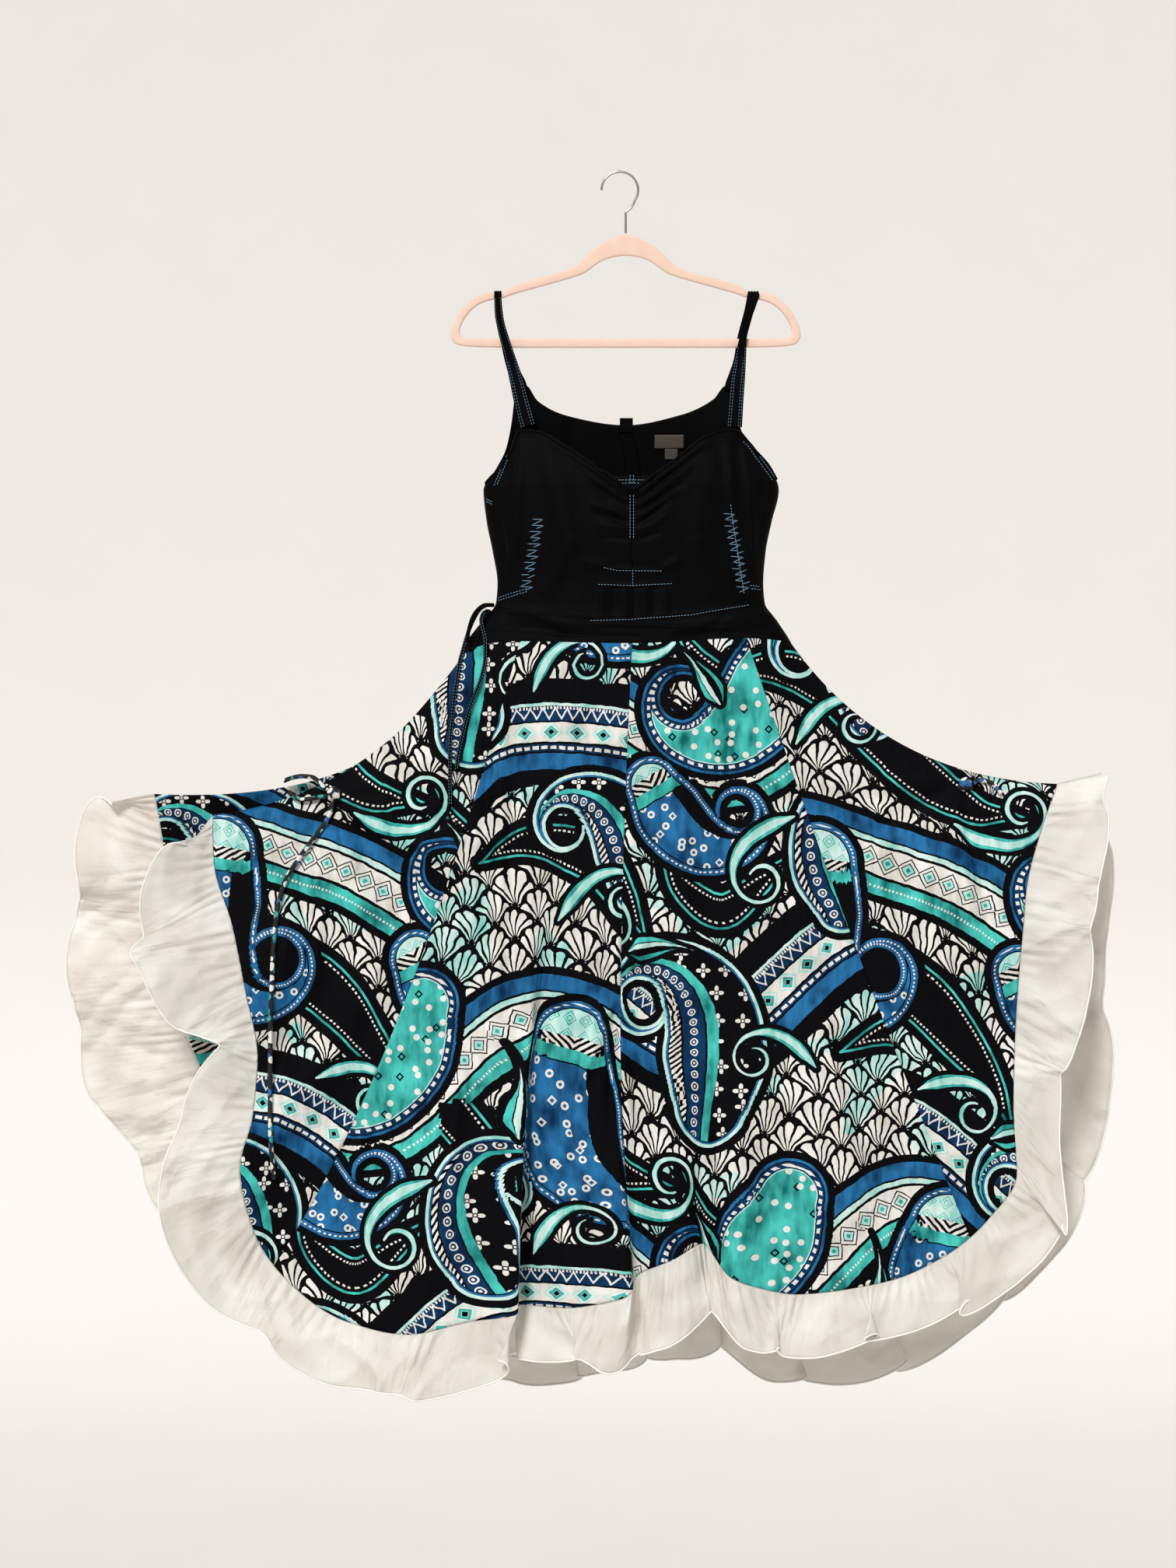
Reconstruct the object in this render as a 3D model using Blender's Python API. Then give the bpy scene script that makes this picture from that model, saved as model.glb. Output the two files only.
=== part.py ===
"""Long flared dress with a gathered hem ruffle, hanging by its straps from a slim velvet hanger.

The origin is the underside of the hook's top, where the hook rests on a rail. X runs to the right
as the dress is seen, Y runs from its front to its back and Z up. Tables are in millimetres.
"""

import math

import bmesh
import bpy
import numpy as np
from mathutils import Vector

MM = 0.001

# Driving dimensions
COTTON_WALL = 1.2 * MM
VOILE_WALL = 1.0 * MM
STRAP_WALL = 1.6 * MM
SEAM_GAP = 0.3 * MM
SIDE_CLEAR = 0.8 * MM
HANGER_CENTRE = 7.5 * MM
HANGER_THICKNESS = 5.5 * MM
HANGER_BEVEL = 1.4 * MM
HOOK_WIRE = 3.2 * MM
HOOK_RADIUS = 23.5 * MM
HOOK_TURNS = (168, -28)
HOOK_LIP = (-0.9 * MM, 0.0, -5.0 * MM)
HOOK_NECK = -52.0 * MM
HOOK_NECK_BEND = 2.0 * MM
HOOK_STEM_FOOT = -77.6 * MM
BINDING_RADIUS = 2.4 * MM
BINDING_LIFT = 2.9 * MM
TIE_DIAMETER = 5.0 * MM
PRINT_TIE_DIAMETER = 6.0 * MM
CORD_STEP = 2.5

# Half of the hanger's outline, from the peak of the arch down to the middle of the bar,
# as outer_x, outer_z, inner_x and inner_z from its middle
HANGER_HALF = (
    (0, -78, 0, -106),
    (12, -81, 10, -107),
    (28, -88, 24, -110),
    (47, -102, 38, -117),
    (60, -117, 50, -128),
    (73, -125, 65, -134),
    (112, -135, 108, -146),
    (153, -146, 149, -157),
    (156, -155, 155, -161),
    (172, -155.5, 171, -163),
    (175, -152, 176, -164),
    (194, -158, 189, -168),
    (210, -172, 202, -179),
    (222, -193, 212, -195),
    (227, -208, 214.5, -206),
    (222, -219, 210, -212),
    (211, -224.5, 203, -213.5),
    (100, -225, 100, -213.5),
    (0, -225, 0, -213.5),
)

# Flat oval sections of the bodice and yoke, from the back neck down to the skirt
SECTION_COLUMNS = ("z", "left", "right", "front", "back")
SECTIONS = (
    (-262, -144, 158, 12, 10),
    (-300, -145, 160, 16, 13),
    (-330, -147, 163, 24, 17),
    (-355, -150, 177, 32, 21),
    (-380, -160, 195, 38, 24),
    (-408, -175, 204, 42, 26),
    (-448, -171, 195, 42, 26),
    (-488, -163, 187, 39, 25),
    (-528, -157, 184, 35, 24),
    (-553, -159, 186, 34, 24),
    (-578, -178, 203, 36, 26),
    (-607, -198, 221, 38, 28),
    (-630, -203, 229, 38, 28),
)

# Edges across the body: turn is the angle in degrees round the oval, from the left side seam
EDGE_COLUMNS = ("turn", "z")
FRONT_TOP = (
    (0, -410),
    (9, -396),
    (17, -381),
    (23, -358),
    (28, -334),
    (43, -336),
    (56, -352),
    (70, -376),
    (80, -394),
    (90, -395),
    (98, -393),
    (103, -384),
    (113, -365),
    (130, -342),
    (148, -333),
    (158, -336),
    (164, -362),
    (171, -388),
    (180, -408),
)
FRONT_WAIST = (
    (0, -556),
    (45, -567),
    (90, -574),
    (135, -564),
    (180, -555),
)
FRONT_SKIRT_TOP = (
    (0, -622),
    (45, -604),
    (90, -607),
    (135, -600),
    (180, -606),
)
BACK_TOP = (
    (0, -410),
    (8, -372),
    (16, -330),
    (22, -272),
    (33, -273),
    (42, -292),
    (60, -310),
    (90, -322),
    (118, -309),
    (138, -290),
    (148, -273),
    (158, -272),
    (163, -330),
    (172, -372),
    (180, -408),
)
BACK_WAIST = (
    (0, -556),
    (90, -562),
    (180, -555),
)
BACK_SKIRT_TOP = (
    (0, -622),
    (90, -604),
    (180, -606),
)
LEFT_SEAM = 28
CENTRE_SEAM = 91
RIGHT_SEAM = 156
FRONT_TURNS = (
    0, 6, 12, 17, 22, 28, 35, 42, 49, 56, 63, 70, 76, 81, 86, 91,
    98, 105, 112, 120, 130, 140, 148, 156, 162, 168, 174, 180,
)
BACK_TURNS = (
    0, 6, 11, 16, 19, 22, 33, 42, 53, 65, 76, 87, 90, 93,
    104, 115, 127, 138, 147, 158, 161, 164, 169, 174, 180,
)
INSERT_TURNS = (81, 98)
BINDING_TURNS = {"left": (6, 76), "right": (98, 174)}
WAIST_ROW = 7
BODY_DROPS = tuple(row / WAIST_ROW for row in range(WAIST_ROW + 1)) + (1.35, 1.7, 2.0)

# Small pieces inside the back neck: turns and heights of their sides, wall, and its offset
# from the back's centre surface
LOOP = {"turns": (87.4, 90, 92.6), "heights": (-313, -322, -331), "wall": 1.2, "offset": -2.1}
NECK_LABEL = {"turns": (101, 108, 115), "heights": (-338, -358), "wall": 1.0, "offset": -1.8}
SIZE_TAG = {"turns": (105.5, 108.7, 112), "heights": (-358.6, -370), "wall": 1.0, "offset": -1.8}

# Ribs of the spread skirt: turn where the rib leaves the yoke, its middle, the ruffle seam,
# and the ruffle's free edge
RIB_COLUMNS = ("turn", "mid_x", "mid_z", "hem_x", "hem_z", "edge_x", "edge_z")
FRONT_RIBS = (
    (0, -342, -763, -523, -826, -551, -850),
    (10, -360, -800, -518, -892, -598, -925),
    (18, -356, -850, -494, -965, -624, -1002),
    (24, -344, -905, -475, -1045, -566, -1078),
    (29, -332, -950, -460, -1130, -532, -1140),
    (34, -324, -995, -468, -1205, -552, -1195),
    (39, -314, -1035, -486, -1270, -585, -1300),
    (45, -296, -1066, -462, -1362, -520, -1435),
    (51, -262, -1090, -412, -1426, -448, -1508),
    (57, -222, -1102, -345, -1466, -365, -1556),
    (63, -184, -1104, -270, -1479, -282, -1574),
    (69, -150, -1102, -186, -1460, -182, -1556),
    (75, -116, -1096, -146, -1447, -142, -1530),
    (81, -76, -1090, -88, -1447, -84, -1525),
    (86, -38, -1084, -36, -1442, -34, -1528),
    (91, 0, -1078, 8, -1415, 16, -1522),
    (96, 42, -1078, 56, -1390, 54, -1500),
    (101, 84, -1078, 107, -1367, 112, -1470),
    (107, 126, -1076, 156, -1406, 154, -1504),
    (113, 172, -1072, 222, -1430, 220, -1519),
    (119, 216, -1064, 290, -1422, 292, -1502),
    (126, 258, -1048, 352, -1411, 356, -1489),
    (133, 292, -1024, 414, -1384, 430, -1468),
    (140, 316, -992, 470, -1334, 504, -1420),
    (147, 330, -956, 507, -1276, 570, -1345),
    (154, 336, -920, 500, -1190, 574, -1245),
    (160, 338, -885, 503, -1100, 582, -1120),
    (165, 338, -850, 508, -1010, 606, -1030),
    (170, 344, -812, 516, -926, 618, -935),
    (175, 354, -772, 540, -840, 614, -850),
    (180, 368, -738, 562, -786, 630, -768),
)
BACK_RIBS = (
    (0, -342, -763, -599, -799, -662, -795),
    (12, -366, -820, -588, -880, -700, -868),
    (22, -370, -890, -578, -970, -714, -975),
    (30, -366, -948, -576, -1062, -715, -1066),
    (38, -356, -998, -550, -1140, -695, -1172),
    (46, -340, -1038, -508, -1228, -645, -1256),
    (54, -314, -1068, -466, -1300, -594, -1342),
    (62, -280, -1088, -410, -1366, -520, -1420),
    (70, -240, -1102, -346, -1412, -420, -1484),
    (77, -196, -1106, -270, -1433, -300, -1538),
    (83, -146, -1106, -196, -1438, -196, -1546),
    (89, -96, -1104, -126, -1432, -124, -1550),
    (95, -46, -1100, -60, -1426, -52, -1552),
    (101, 4, -1096, 0, -1418, 4, -1522),
    (107, 54, -1092, 58, -1408, 62, -1514),
    (113, 108, -1088, 118, -1404, 132, -1508),
    (119, 162, -1082, 188, -1423, 202, -1540),
    (125, 216, -1072, 262, -1427, 280, -1542),
    (131, 262, -1052, 332, -1408, 366, -1526),
    (138, 298, -1022, 394, -1368, 452, -1478),
    (145, 322, -986, 443, -1308, 524, -1408),
    (153, 338, -942, 478, -1228, 592, -1322),
    (161, 348, -896, 488, -1128, 622, -1180),
    (168, 354, -848, 496, -1026, 620, -1060),
    (174, 358, -796, 513, -908, 622, -930),
    (180, 368, -738, 562, -786, 633, -763),
)

# Standing folds as place, width, height, lean and start: place is 0 to 1 across the fan,
# height is out of the skirt, lean tips the crest to the right and start is how far down it begins
FRONT_FOLDS = (
    (0.10, 0.030, 14, -0.2, 0.30),
    (0.19, 0.028, 22, 0.4, 0.15),
    (0.25, 0.030, -10, 0.0, 0.30),
    (0.33, 0.026, 16, 0.2, 0.45),
    (0.385, 0.020, 30, 1.1, 0.10),
    (0.415, 0.016, -18, 0.6, 0.10),
    (0.455, 0.018, 10, 0.2, 0.50),
    (0.487, 0.014, 22, 0.9, 0.48),
    (0.512, 0.013, -10, 0.0, 0.50),
    (0.545, 0.016, 12, 0.0, 0.35),
    (0.578, 0.014, -14, 0.6, 0.40),
    (0.602, 0.018, 24, -0.7, 0.40),
    (0.665, 0.030, 11, 0.1, 0.30),
    (0.73, 0.026, -10, 0.0, 0.25),
    (0.80, 0.026, 24, -0.4, 0.12),
    (0.86, 0.022, -8, 0.0, 0.40),
    (0.92, 0.024, 12, 0.2, 0.45),
)
BACK_FOLDS = (
    (0.08, 0.030, 10, 0.2, 0.30),
    (0.16, 0.030, 14, -0.3, 0.20),
    (0.25, 0.034, -10, 0.0, 0.30),
    (0.33, 0.028, 22, 0.6, 0.12),
    (0.40, 0.024, -11, 0.0, 0.25),
    (0.46, 0.022, 19, -0.5, 0.30),
    (0.53, 0.022, -10, 0.0, 0.35),
    (0.60, 0.024, 22, 0.7, 0.15),
    (0.68, 0.030, -10, 0.0, 0.30),
    (0.76, 0.028, 17, -0.3, 0.20),
    (0.85, 0.030, 10, 0.2, 0.35),
    (0.93, 0.026, -5, 0.0, 0.40),
)
FRONT_HEM_DEPTH = 58 * MM
BACK_HEM_DEPTH = 46 * MM
GORE_PLACES = (0.0, 0.25, 0.5, 0.75, 1.0)
SKIRT_COLUMNS = 64
SKIRT_ROWS = 8
SKIRT_ROW_POWER = 0.9

# Gathered ruffle
RUFFLE_SPLITS = 3
RUFFLE_WAVES_FRONT = 33
RUFFLE_WAVES_BACK = 31
RUFFLE_ROWS = (0.0, 0.3, 1.0)
RUFFLE_WAVE_HEIGHT = 15 * MM
RUFFLE_LIFT = 5 * MM

# Unevenness of the ruffle's waves: share, frequency and phase of their heights,
# share and frequency of their spacing
RUFFLE_UNEVEN = (0.25, 7.3, 0.6)
RUFFLE_DRIFT = (0.35, 9.0)

# Strap routes from the front end over the hanger to the back end, as x, y, z and width
LEFT_STRAP = (
    (-118, -13.5, -327.3, 21),
    (-124, -14, -305, 20),
    (-133, -13, -268, 17),
    (-143, -10, -232, 12),
    (-151, -7, -205, 10),
    (-156, -5, -180, 8.5),
    (-156.8, -4.3, -163, 8),
    (-157, -4, -157.2, 8),
    (-157, -2.7, -154.2, 8),
    (-157, 0, -153.5, 8),
    (-157, 2.7, -154.2, 8),
    (-157, 4, -157.2, 8),
    (-156.8, 4.3, -163, 8),
    (-155, 5, -185, 9),
    (-148, 7, -214, 11),
    (-138, 7, -238, 15),
    (-129.5, 5.4, -258, 17),
    (-128, 4.7, -271, 18),
)
RIGHT_STRAP = (
    (146.5, -13, -328, 20),
    (148, -14, -305, 19),
    (151, -13, -268, 18),
    (155, -10, -236, 13),
    (159, -7, -208, 10),
    (165, -5, -182, 11),
    (170, -4.3, -164, 12),
    (171.5, -4, -157.2, 12.5),
    (171.5, -2.7, -154.2, 12.5),
    (171.5, 0, -153.5, 12.5),
    (171.5, 2.7, -154.2, 12.5),
    (171.5, 4, -157.2, 12.5),
    (170, 4.3, -164, 12),
    (164, 5, -186, 11),
    (157, 7, -214, 11),
    (149, 7, -240, 15),
    (145, 5.4, -258, 17),
    (144.5, 4.7, -271, 18),
)
STRAP_STEP = 16 * MM

# Routes of the hanging ties and of the bows' tails as x, y and z, from where each is sewn
# or knotted
WAIST_TIE_OUTER = (
    (-163.8, -0.5, -555.5),
    (-170, -2, -556),
    (-179, -4.5, -561),
    (-187, -5.5, -573),
    (-195, -6.5, -592),
    (-202, -11, -616),
    (-205, -15.4, -628),
    (-207, -18.8, -640),
    (-211, -22, -670),
    (-214, -24.8, -702),
    (-217, -27.4, -740),
    (-217, -29.6, -775),
    (-216, -33, -815),
)
WAIST_TIE_INNER = (
    (-169.9, -1.5, -563),
    (-175, -5, -566),
    (-178, -12, -575),
    (-175, -19.6, -590),
    (-172, -24, -604),
    (-172, -26.6, -622),
    (-177, -27.8, -650),
    (-187, -28, -676),
    (-195, -28.2, -700),
    (-202, -28.7, -728),
    (-207, -29, -752),
    (-209, -29.8, -770),
)
BOW_LEFT_UPPER = (
    (-374.6, -19, -794),
    (-381, -18, -788),
    (-395, -14, -777),
    (-408, -12, -776),
    (-420, -12, -778),
    (-431, -11, -782),
)
BOW_LEFT_LOWER = (
    (-374.8, -19, -801),
    (-386, -16.5, -803),
    (-397, -15.5, -805),
    (-408, -13.5, -806),
    (-418, -11, -802),
    (-425, -9, -796),
)
BOW_LEFT_HANGING = (
    (-367, -19.5, -807),
    (-372, -21.5, -826),
    (-392, -24.2, -856),
    (-412, -26.8, -884),
    (-428, -29.8, -912),
    (-437, -34.5, -950),
    (-441, -42, -1000),
    (-442, -44.9, -1040),
    (-443, -46, -1060),
    (-444, -46.2, -1120),
    (-444, -48, -1150),
    (-443, -54.4, -1180),
    (-442, -63.2, -1212),
    (-441, -63.4, -1240),
    (-438, -54.5, -1285),
)
BOW_RIGHT_TAIL = (
    (451.4, -17, -785),
    (461, -12.5, -781),
    (473, -12, -783),
    (482, -13.6, -790),
    (488, -17, -798),
)
KNOT_RADII = (9 * MM, 6 * MM, 8 * MM)
LEFT_KNOT = (-366 * MM, -20 * MM, -798 * MM)
RIGHT_KNOT = (442 * MM, -17.4 * MM, -786 * MM)


def clear_scene():
    """Remove every object that the file opened with."""
    for item in list(bpy.data.objects):
        bpy.data.objects.remove(item, do_unlink=True)


def make_material(name, colour, roughness, metallic=0.0, sheen=0.0):
    """Principled finish from a linear colour."""
    material = bpy.data.materials.new(name)
    material.use_nodes = True
    shader = material.node_tree.nodes["Principled BSDF"]
    shader.inputs["Base Color"].default_value = (*colour, 1.0)
    shader.inputs["Roughness"].default_value = roughness
    shader.inputs["Metallic"].default_value = metallic
    shader.inputs["Sheen Weight"].default_value = sheen
    material.diffuse_color = (*colour, 1.0)
    return material


def link_mesh(name, vertices, faces, material, smooth=True):
    """Make one object from points and faces."""
    mesh = bpy.data.meshes.new(name)
    mesh.from_pydata([tuple(map(float, point)) for point in vertices], [], faces)
    mesh.update()
    if smooth:
        mesh.shade_smooth()
    item = bpy.data.objects.new(name, mesh)
    bpy.context.collection.objects.link(item)
    mesh.materials.append(material)
    return item


def column(table, columns, name):
    """One named column of a table."""
    return np.array([row[columns.index(name)] for row in table], dtype=float)


def level_slopes(places, values):
    """Slopes of a curve through a table's rows that never swings past them."""
    secants = np.diff(values) / np.diff(places)
    before, after = secants[:-1], secants[1:]
    agree = before * after > 0
    total = np.where(agree, before + after, 1.0)
    inner = np.where(agree, 2 * before * after / total, 0.0)
    return np.concatenate(([secants[0]], inner, [secants[-1]]))


def smooth_between(places, values, at):
    """Read a column at a place along it, on a smooth curve through its rows."""
    places = np.asarray(places, dtype=float)
    values = np.asarray(values, dtype=float)
    index = int(np.clip(np.searchsorted(places, at, side="right") - 1, 0, len(places) - 2))
    slopes = level_slopes(places, values)
    span = places[index + 1] - places[index]
    t = float(np.clip((at - places[index]) / span, 0.0, 1.0))
    start = (1 + 2 * t) * (1 - t) ** 2 * values[index]
    start_slope = t * (1 - t) ** 2 * span * slopes[index]
    end = t * t * (3 - 2 * t) * values[index + 1]
    end_slope = t * t * (t - 1) * span * slopes[index + 1]
    return start + start_slope + end + end_slope


def section_at(z, name):
    """A size of the bodice at a height in millimetres, read from the section table."""
    depths = -column(SECTIONS, SECTION_COLUMNS, "z")
    return smooth_between(depths, column(SECTIONS, SECTION_COLUMNS, name), -z)


def edge_at(table, turn):
    """Height of an edge at an angle round the body."""
    return smooth_between(
        column(table, EDGE_COLUMNS, "turn"), column(table, EDGE_COLUMNS, "z"), turn
    )


def body_point(turn, z, face):
    """Point on the bodice's oval at a turn and a height in millimetres."""
    left = section_at(z, "left")
    right = section_at(z, "right")
    depth = section_at(z, face)
    angle = math.radians(turn)
    x = (left + right) / 2 - math.cos(angle) * (right - left) / 2
    forward = -1.0 if face == "front" else 1.0
    y = forward * depth * math.sin(angle)
    return Vector((x * MM, y * MM, z * MM))


def body_grid(face, top, waist, bottom):
    """Centres and normals of one face of the body, from its top edge down to the skirt."""
    turns = FRONT_TURNS if face == "front" else BACK_TURNS
    points = []
    normals = []
    for drop in BODY_DROPS:
        row = []
        facing = []
        for turn in turns:
            high, low = edge_at(top, turn), edge_at(waist, turn)
            foot = edge_at(bottom, turn)
            z = high + (low - high) * min(drop, 1.0) + (foot - low) * max(drop - 1.0, 0.0)
            row.append(body_point(turn, z, face))
            facing.append(body_normal(turn, z, face))
        points.append(row)
        normals.append(facing)
    return np.array(points), np.array(normals)


def body_normal(turn, z, face):
    """Unit normal of the bodice's oval, pointing out of the body."""
    around = body_point(turn + 0.5, z, face) - body_point(turn - 0.5, z, face)
    upward = body_point(turn, z + 1.0, face) - body_point(turn, z - 1.0, face)
    normal = around.cross(upward) if face == "front" else upward.cross(around)
    return normal.normalized()


def grid_points(point, across, down):
    """Points of a surface in rows."""
    return np.array([[point(a, d) for a in across] for d in down])


def grid_normals(points):
    """Unit normals of a grid, from its own rows and columns."""
    along = np.gradient(points, axis=1)
    down = np.gradient(points, axis=0)
    normals = np.cross(along, down)
    return normals / np.linalg.norm(normals, axis=2, keepdims=True)


def draw_in(points, left=0.0, right=0.0, top=0.0, bottom=0.0):
    """Move the border of a grid inwards along the cloth by the gaps at its seams."""
    drawn = points.copy()
    for amount, edge, inner in (
        (left, np.s_[:, 0], np.s_[:, 1]),
        (right, np.s_[:, -1], np.s_[:, -2]),
        (top, np.s_[0, :], np.s_[1, :]),
        (bottom, np.s_[-1, :], np.s_[-2, :]),
    ):
        step = points[inner] - points[edge]
        step = step / np.linalg.norm(step, axis=1, keepdims=True)
        drawn[edge] = drawn[edge] + step * amount
    return drawn


def wall(name, points, normals, thickness, material, offset=0.0):
    """Closed wall of cloth on a grid of centre points."""
    rows, cols = points.shape[:2]
    outer = points + normals * (offset + thickness / 2)
    inner = points + normals * (offset - thickness / 2)
    vertices = list(outer.reshape(-1, 3)) + list(inner.reshape(-1, 3))
    shift = rows * cols
    faces = []
    for r in range(rows - 1):
        for c in range(cols - 1):
            a = r * cols + c
            b = a + 1
            d = a + cols
            e = d + 1
            falling = np.linalg.norm(points[r, c] - points[r + 1, c + 1])
            rising = np.linalg.norm(points[r, c + 1] - points[r + 1, c])
            pair = ((a, d, e), (a, e, b)) if falling <= rising else ((a, d, b), (b, d, e))
            for one, two, three in pair:
                faces.append((one, two, three))
                faces.append((one + shift, three + shift, two + shift))
    rim = list(range(cols))
    rim += [r * cols + cols - 1 for r in range(1, rows)]
    rim += [(rows - 1) * cols + c for c in range(cols - 2, -1, -1)]
    rim += [r * cols for r in range(rows - 2, 0, -1)]
    for here, after in zip(rim, rim[1:] + rim[:1]):
        faces += [(here, after, after + shift), (here, after + shift, here + shift)]
    item = link_mesh(name, vertices, faces, material)
    face_outward(item)
    return item


def face_outward(item):
    """Turn a closed mesh so that its faces point out."""
    work = bmesh.new()
    work.from_mesh(item.data)
    if work.calc_volume(signed=True) < 0:
        bmesh.ops.reverse_faces(work, faces=work.faces)
    work.to_mesh(item.data)
    work.free()


def build_hanger(material):
    """Flat ring of the hanger, with bevelled edges, notches for straps and an open window."""
    half = [tuple(value * MM for value in row) for row in HANGER_HALF]
    mirrored = [(-ox, oz, -ix, iz) for ox, oz, ix, iz in half[1:-1]]
    stations = half + mirrored[::-1]
    deep = HANGER_THICKNESS / 2
    soft = deep - HANGER_BEVEL
    vertices = []
    for outer_x, outer_z, inner_x, inner_z in stations:
        outer = Vector((HANGER_CENTRE + outer_x, 0, outer_z))
        inner = Vector((HANGER_CENTRE + inner_x, 0, inner_z))
        inward = (inner - outer).normalized() * HANGER_BEVEL
        for corner, y in (
            (outer + inward, -deep),
            (outer, -soft),
            (outer, soft),
            (outer + inward, deep),
            (inner - inward, deep),
            (inner, soft),
            (inner, -soft),
            (inner - inward, -deep),
        ):
            vertices.append((corner.x, y, corner.z))
    sides = 8
    count = len(stations)
    faces = []
    for s in range(count):
        for k in range(sides):
            a = s * sides + k
            b = s * sides + (k + 1) % sides
            after = ((s + 1) % count) * sides
            faces.append((a, b, after + (k + 1) % sides, after + k))
    item = link_mesh("hanger_body", vertices, faces, material)
    face_outward(item)
    item.data.set_sharp_from_angle(angle=math.radians(35))


def make_tube(name, route, diameter, material, resolution):
    """Round cord or wire along a list of points, with closed ends."""
    curve = bpy.data.curves.new(name, "CURVE")
    curve.dimensions = "3D"
    curve.bevel_depth = diameter / 2
    curve.bevel_resolution = resolution
    curve.use_fill_caps = True
    spline = curve.splines.new("POLY")
    spline.points.add(len(route) - 1)
    for target, point in zip(spline.points, route):
        target.co = (*point, 1.0)
    item = bpy.data.objects.new(name, curve)
    bpy.context.collection.objects.link(item)
    curve.materials.append(material)
    return item


def build_hook(material):
    """Wire hook: a short lip, the round of the hook and the straight stem."""
    centre = Vector((0, 0, HOOK_WIRE / 2 - HOOK_RADIUS))
    route = []
    for angle in np.radians(np.linspace(*HOOK_TURNS, 19)):
        route.append(centre + Vector((math.cos(angle), 0, math.sin(angle))) * HOOK_RADIUS)
    route.insert(0, route[0] + Vector(HOOK_LIP))
    neck = Vector((HANGER_CENTRE, 0, HOOK_NECK))
    bend = route[-1].lerp(neck, 0.6) + Vector((HOOK_NECK_BEND, 0, 0))
    route += [bend, neck, Vector((HANGER_CENTRE, 0, HOOK_STEM_FOOT))]
    make_tube("hanger_hook", route, HOOK_WIRE, material, 2)


def length_places(rows):
    """Distance along a route to each of its points."""
    steps = np.linalg.norm(np.diff(rows, axis=0), axis=1)
    return np.concatenate(([0.0], np.cumsum(steps)))


def smooth_route(table, spacing):
    """Evenly spaced points on a smooth curve through a table's rows, in metres."""
    rows = np.array([row[:3] for row in table], dtype=float) * MM
    places = length_places(rows)
    count = max(4, int(round(places[-1] / spacing)))
    wanted = np.linspace(0.0, places[-1], count + 1)
    return [
        Vector([smooth_between(places, rows[:, axis], at) for axis in range(3)])
        for at in wanted
    ]


def build_ribbon(name, table, thickness, material):
    """Flat strap swept along its route, its width kept across the body."""
    rows = np.array(table, dtype=float) * MM
    places = length_places(rows[:, :3])
    wanted = [0.0]
    for start, end in zip(places, places[1:]):
        parts = max(1, round((end - start) / STRAP_STEP))
        wanted += [start + (end - start) * part / parts for part in range(1, parts + 1)]
    centres = [
        Vector([smooth_between(places, rows[:, axis], at) for axis in range(3)])
        for at in wanted
    ]
    widths = [smooth_between(places, rows[:, 3], at) for at in wanted]
    vertices = []
    for index, centre in enumerate(centres):
        before = centres[max(index - 1, 0)]
        after = centres[min(index + 1, len(centres) - 1)]
        along = (after - before).normalized()
        level = Vector((1, 0, 0))
        across = (level - along * level.dot(along)).normalized()
        out = along.cross(across)
        for a, b in ((-1, -1), (1, -1), (1, 1), (-1, 1)):
            corner = centre + across * (a * widths[index] / 2) + out * (b * thickness / 2)
            vertices.append(corner)
    faces = [(3, 2, 1, 0)]
    for s in range(len(centres) - 1):
        for k in range(4):
            a = s * 4 + k
            b = s * 4 + (k + 1) % 4
            faces.append((a, b, b + 4, a + 4))
    last = (len(centres) - 1) * 4
    faces.append((last, last + 1, last + 2, last + 3))
    item = link_mesh(name, vertices, faces, material)
    face_outward(item)


def body_piece(name, grid, rows, cols, thickness, material, gaps, offset=0.0):
    """Wall of one piece of the body, cut out of its grid and drawn in at its seams."""
    points, normals = grid
    part = points[rows, cols]
    wall(name, draw_in(part, **gaps), normals[rows, cols], thickness, material, offset)


def build_front(black):
    """Side and centre panels, insert and yoke of the front; returns its grid."""
    grid = body_grid("front", FRONT_TOP, FRONT_WAIST, FRONT_SKIRT_TOP)
    seams = [FRONT_TURNS.index(turn) for turn in (0, LEFT_SEAM, CENTRE_SEAM, RIGHT_SEAM, 180)]
    half = SEAM_GAP / 2
    names = ("side_front_left", "bodice_front_left", "bodice_front_right", "side_front_right")
    for name, start, end in zip(names, seams, seams[1:]):
        gaps = {"left": half, "right": half, "bottom": half}
        cols = slice(start, end + 1)
        body_piece(name, grid, slice(0, WAIST_ROW + 1), cols, COTTON_WALL, black, gaps)
    yoke = slice(WAIST_ROW, None)
    gaps = {"left": half, "right": half, "top": half}
    body_piece("yoke_front", grid, yoke, slice(0, None), COTTON_WALL, black, gaps)
    first, last = [FRONT_TURNS.index(turn) for turn in INSERT_TURNS]
    lift = COTTON_WALL + SEAM_GAP
    cols = slice(first, last + 1)
    body_piece("centre_insert", grid, slice(0, 2), cols, COTTON_WALL, black, {}, lift)
    return grid


def build_back(black):
    """Back panels, placket and yoke of the back; returns its grid."""
    grid = body_grid("back", BACK_TOP, BACK_WAIST, BACK_SKIRT_TOP)
    seams = [BACK_TURNS.index(turn) for turn in (0, 87, 93, 180)]
    half = SEAM_GAP / 2
    names = ("bodice_back_left", "back_placket", "bodice_back_right")
    walls = (COTTON_WALL, 2 * COTTON_WALL, COTTON_WALL)
    for name, start, end, thickness in zip(names, seams, seams[1:], walls):
        gaps = {"left": half, "right": half, "bottom": half}
        cols = slice(start, end + 1)
        body_piece(name, grid, slice(0, WAIST_ROW + 1), cols, thickness, black, gaps)
    yoke = slice(WAIST_ROW, None)
    gaps = {"left": half, "right": half, "top": half}
    body_piece("yoke_back", grid, yoke, slice(0, None), COTTON_WALL, black, gaps)
    return grid


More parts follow.
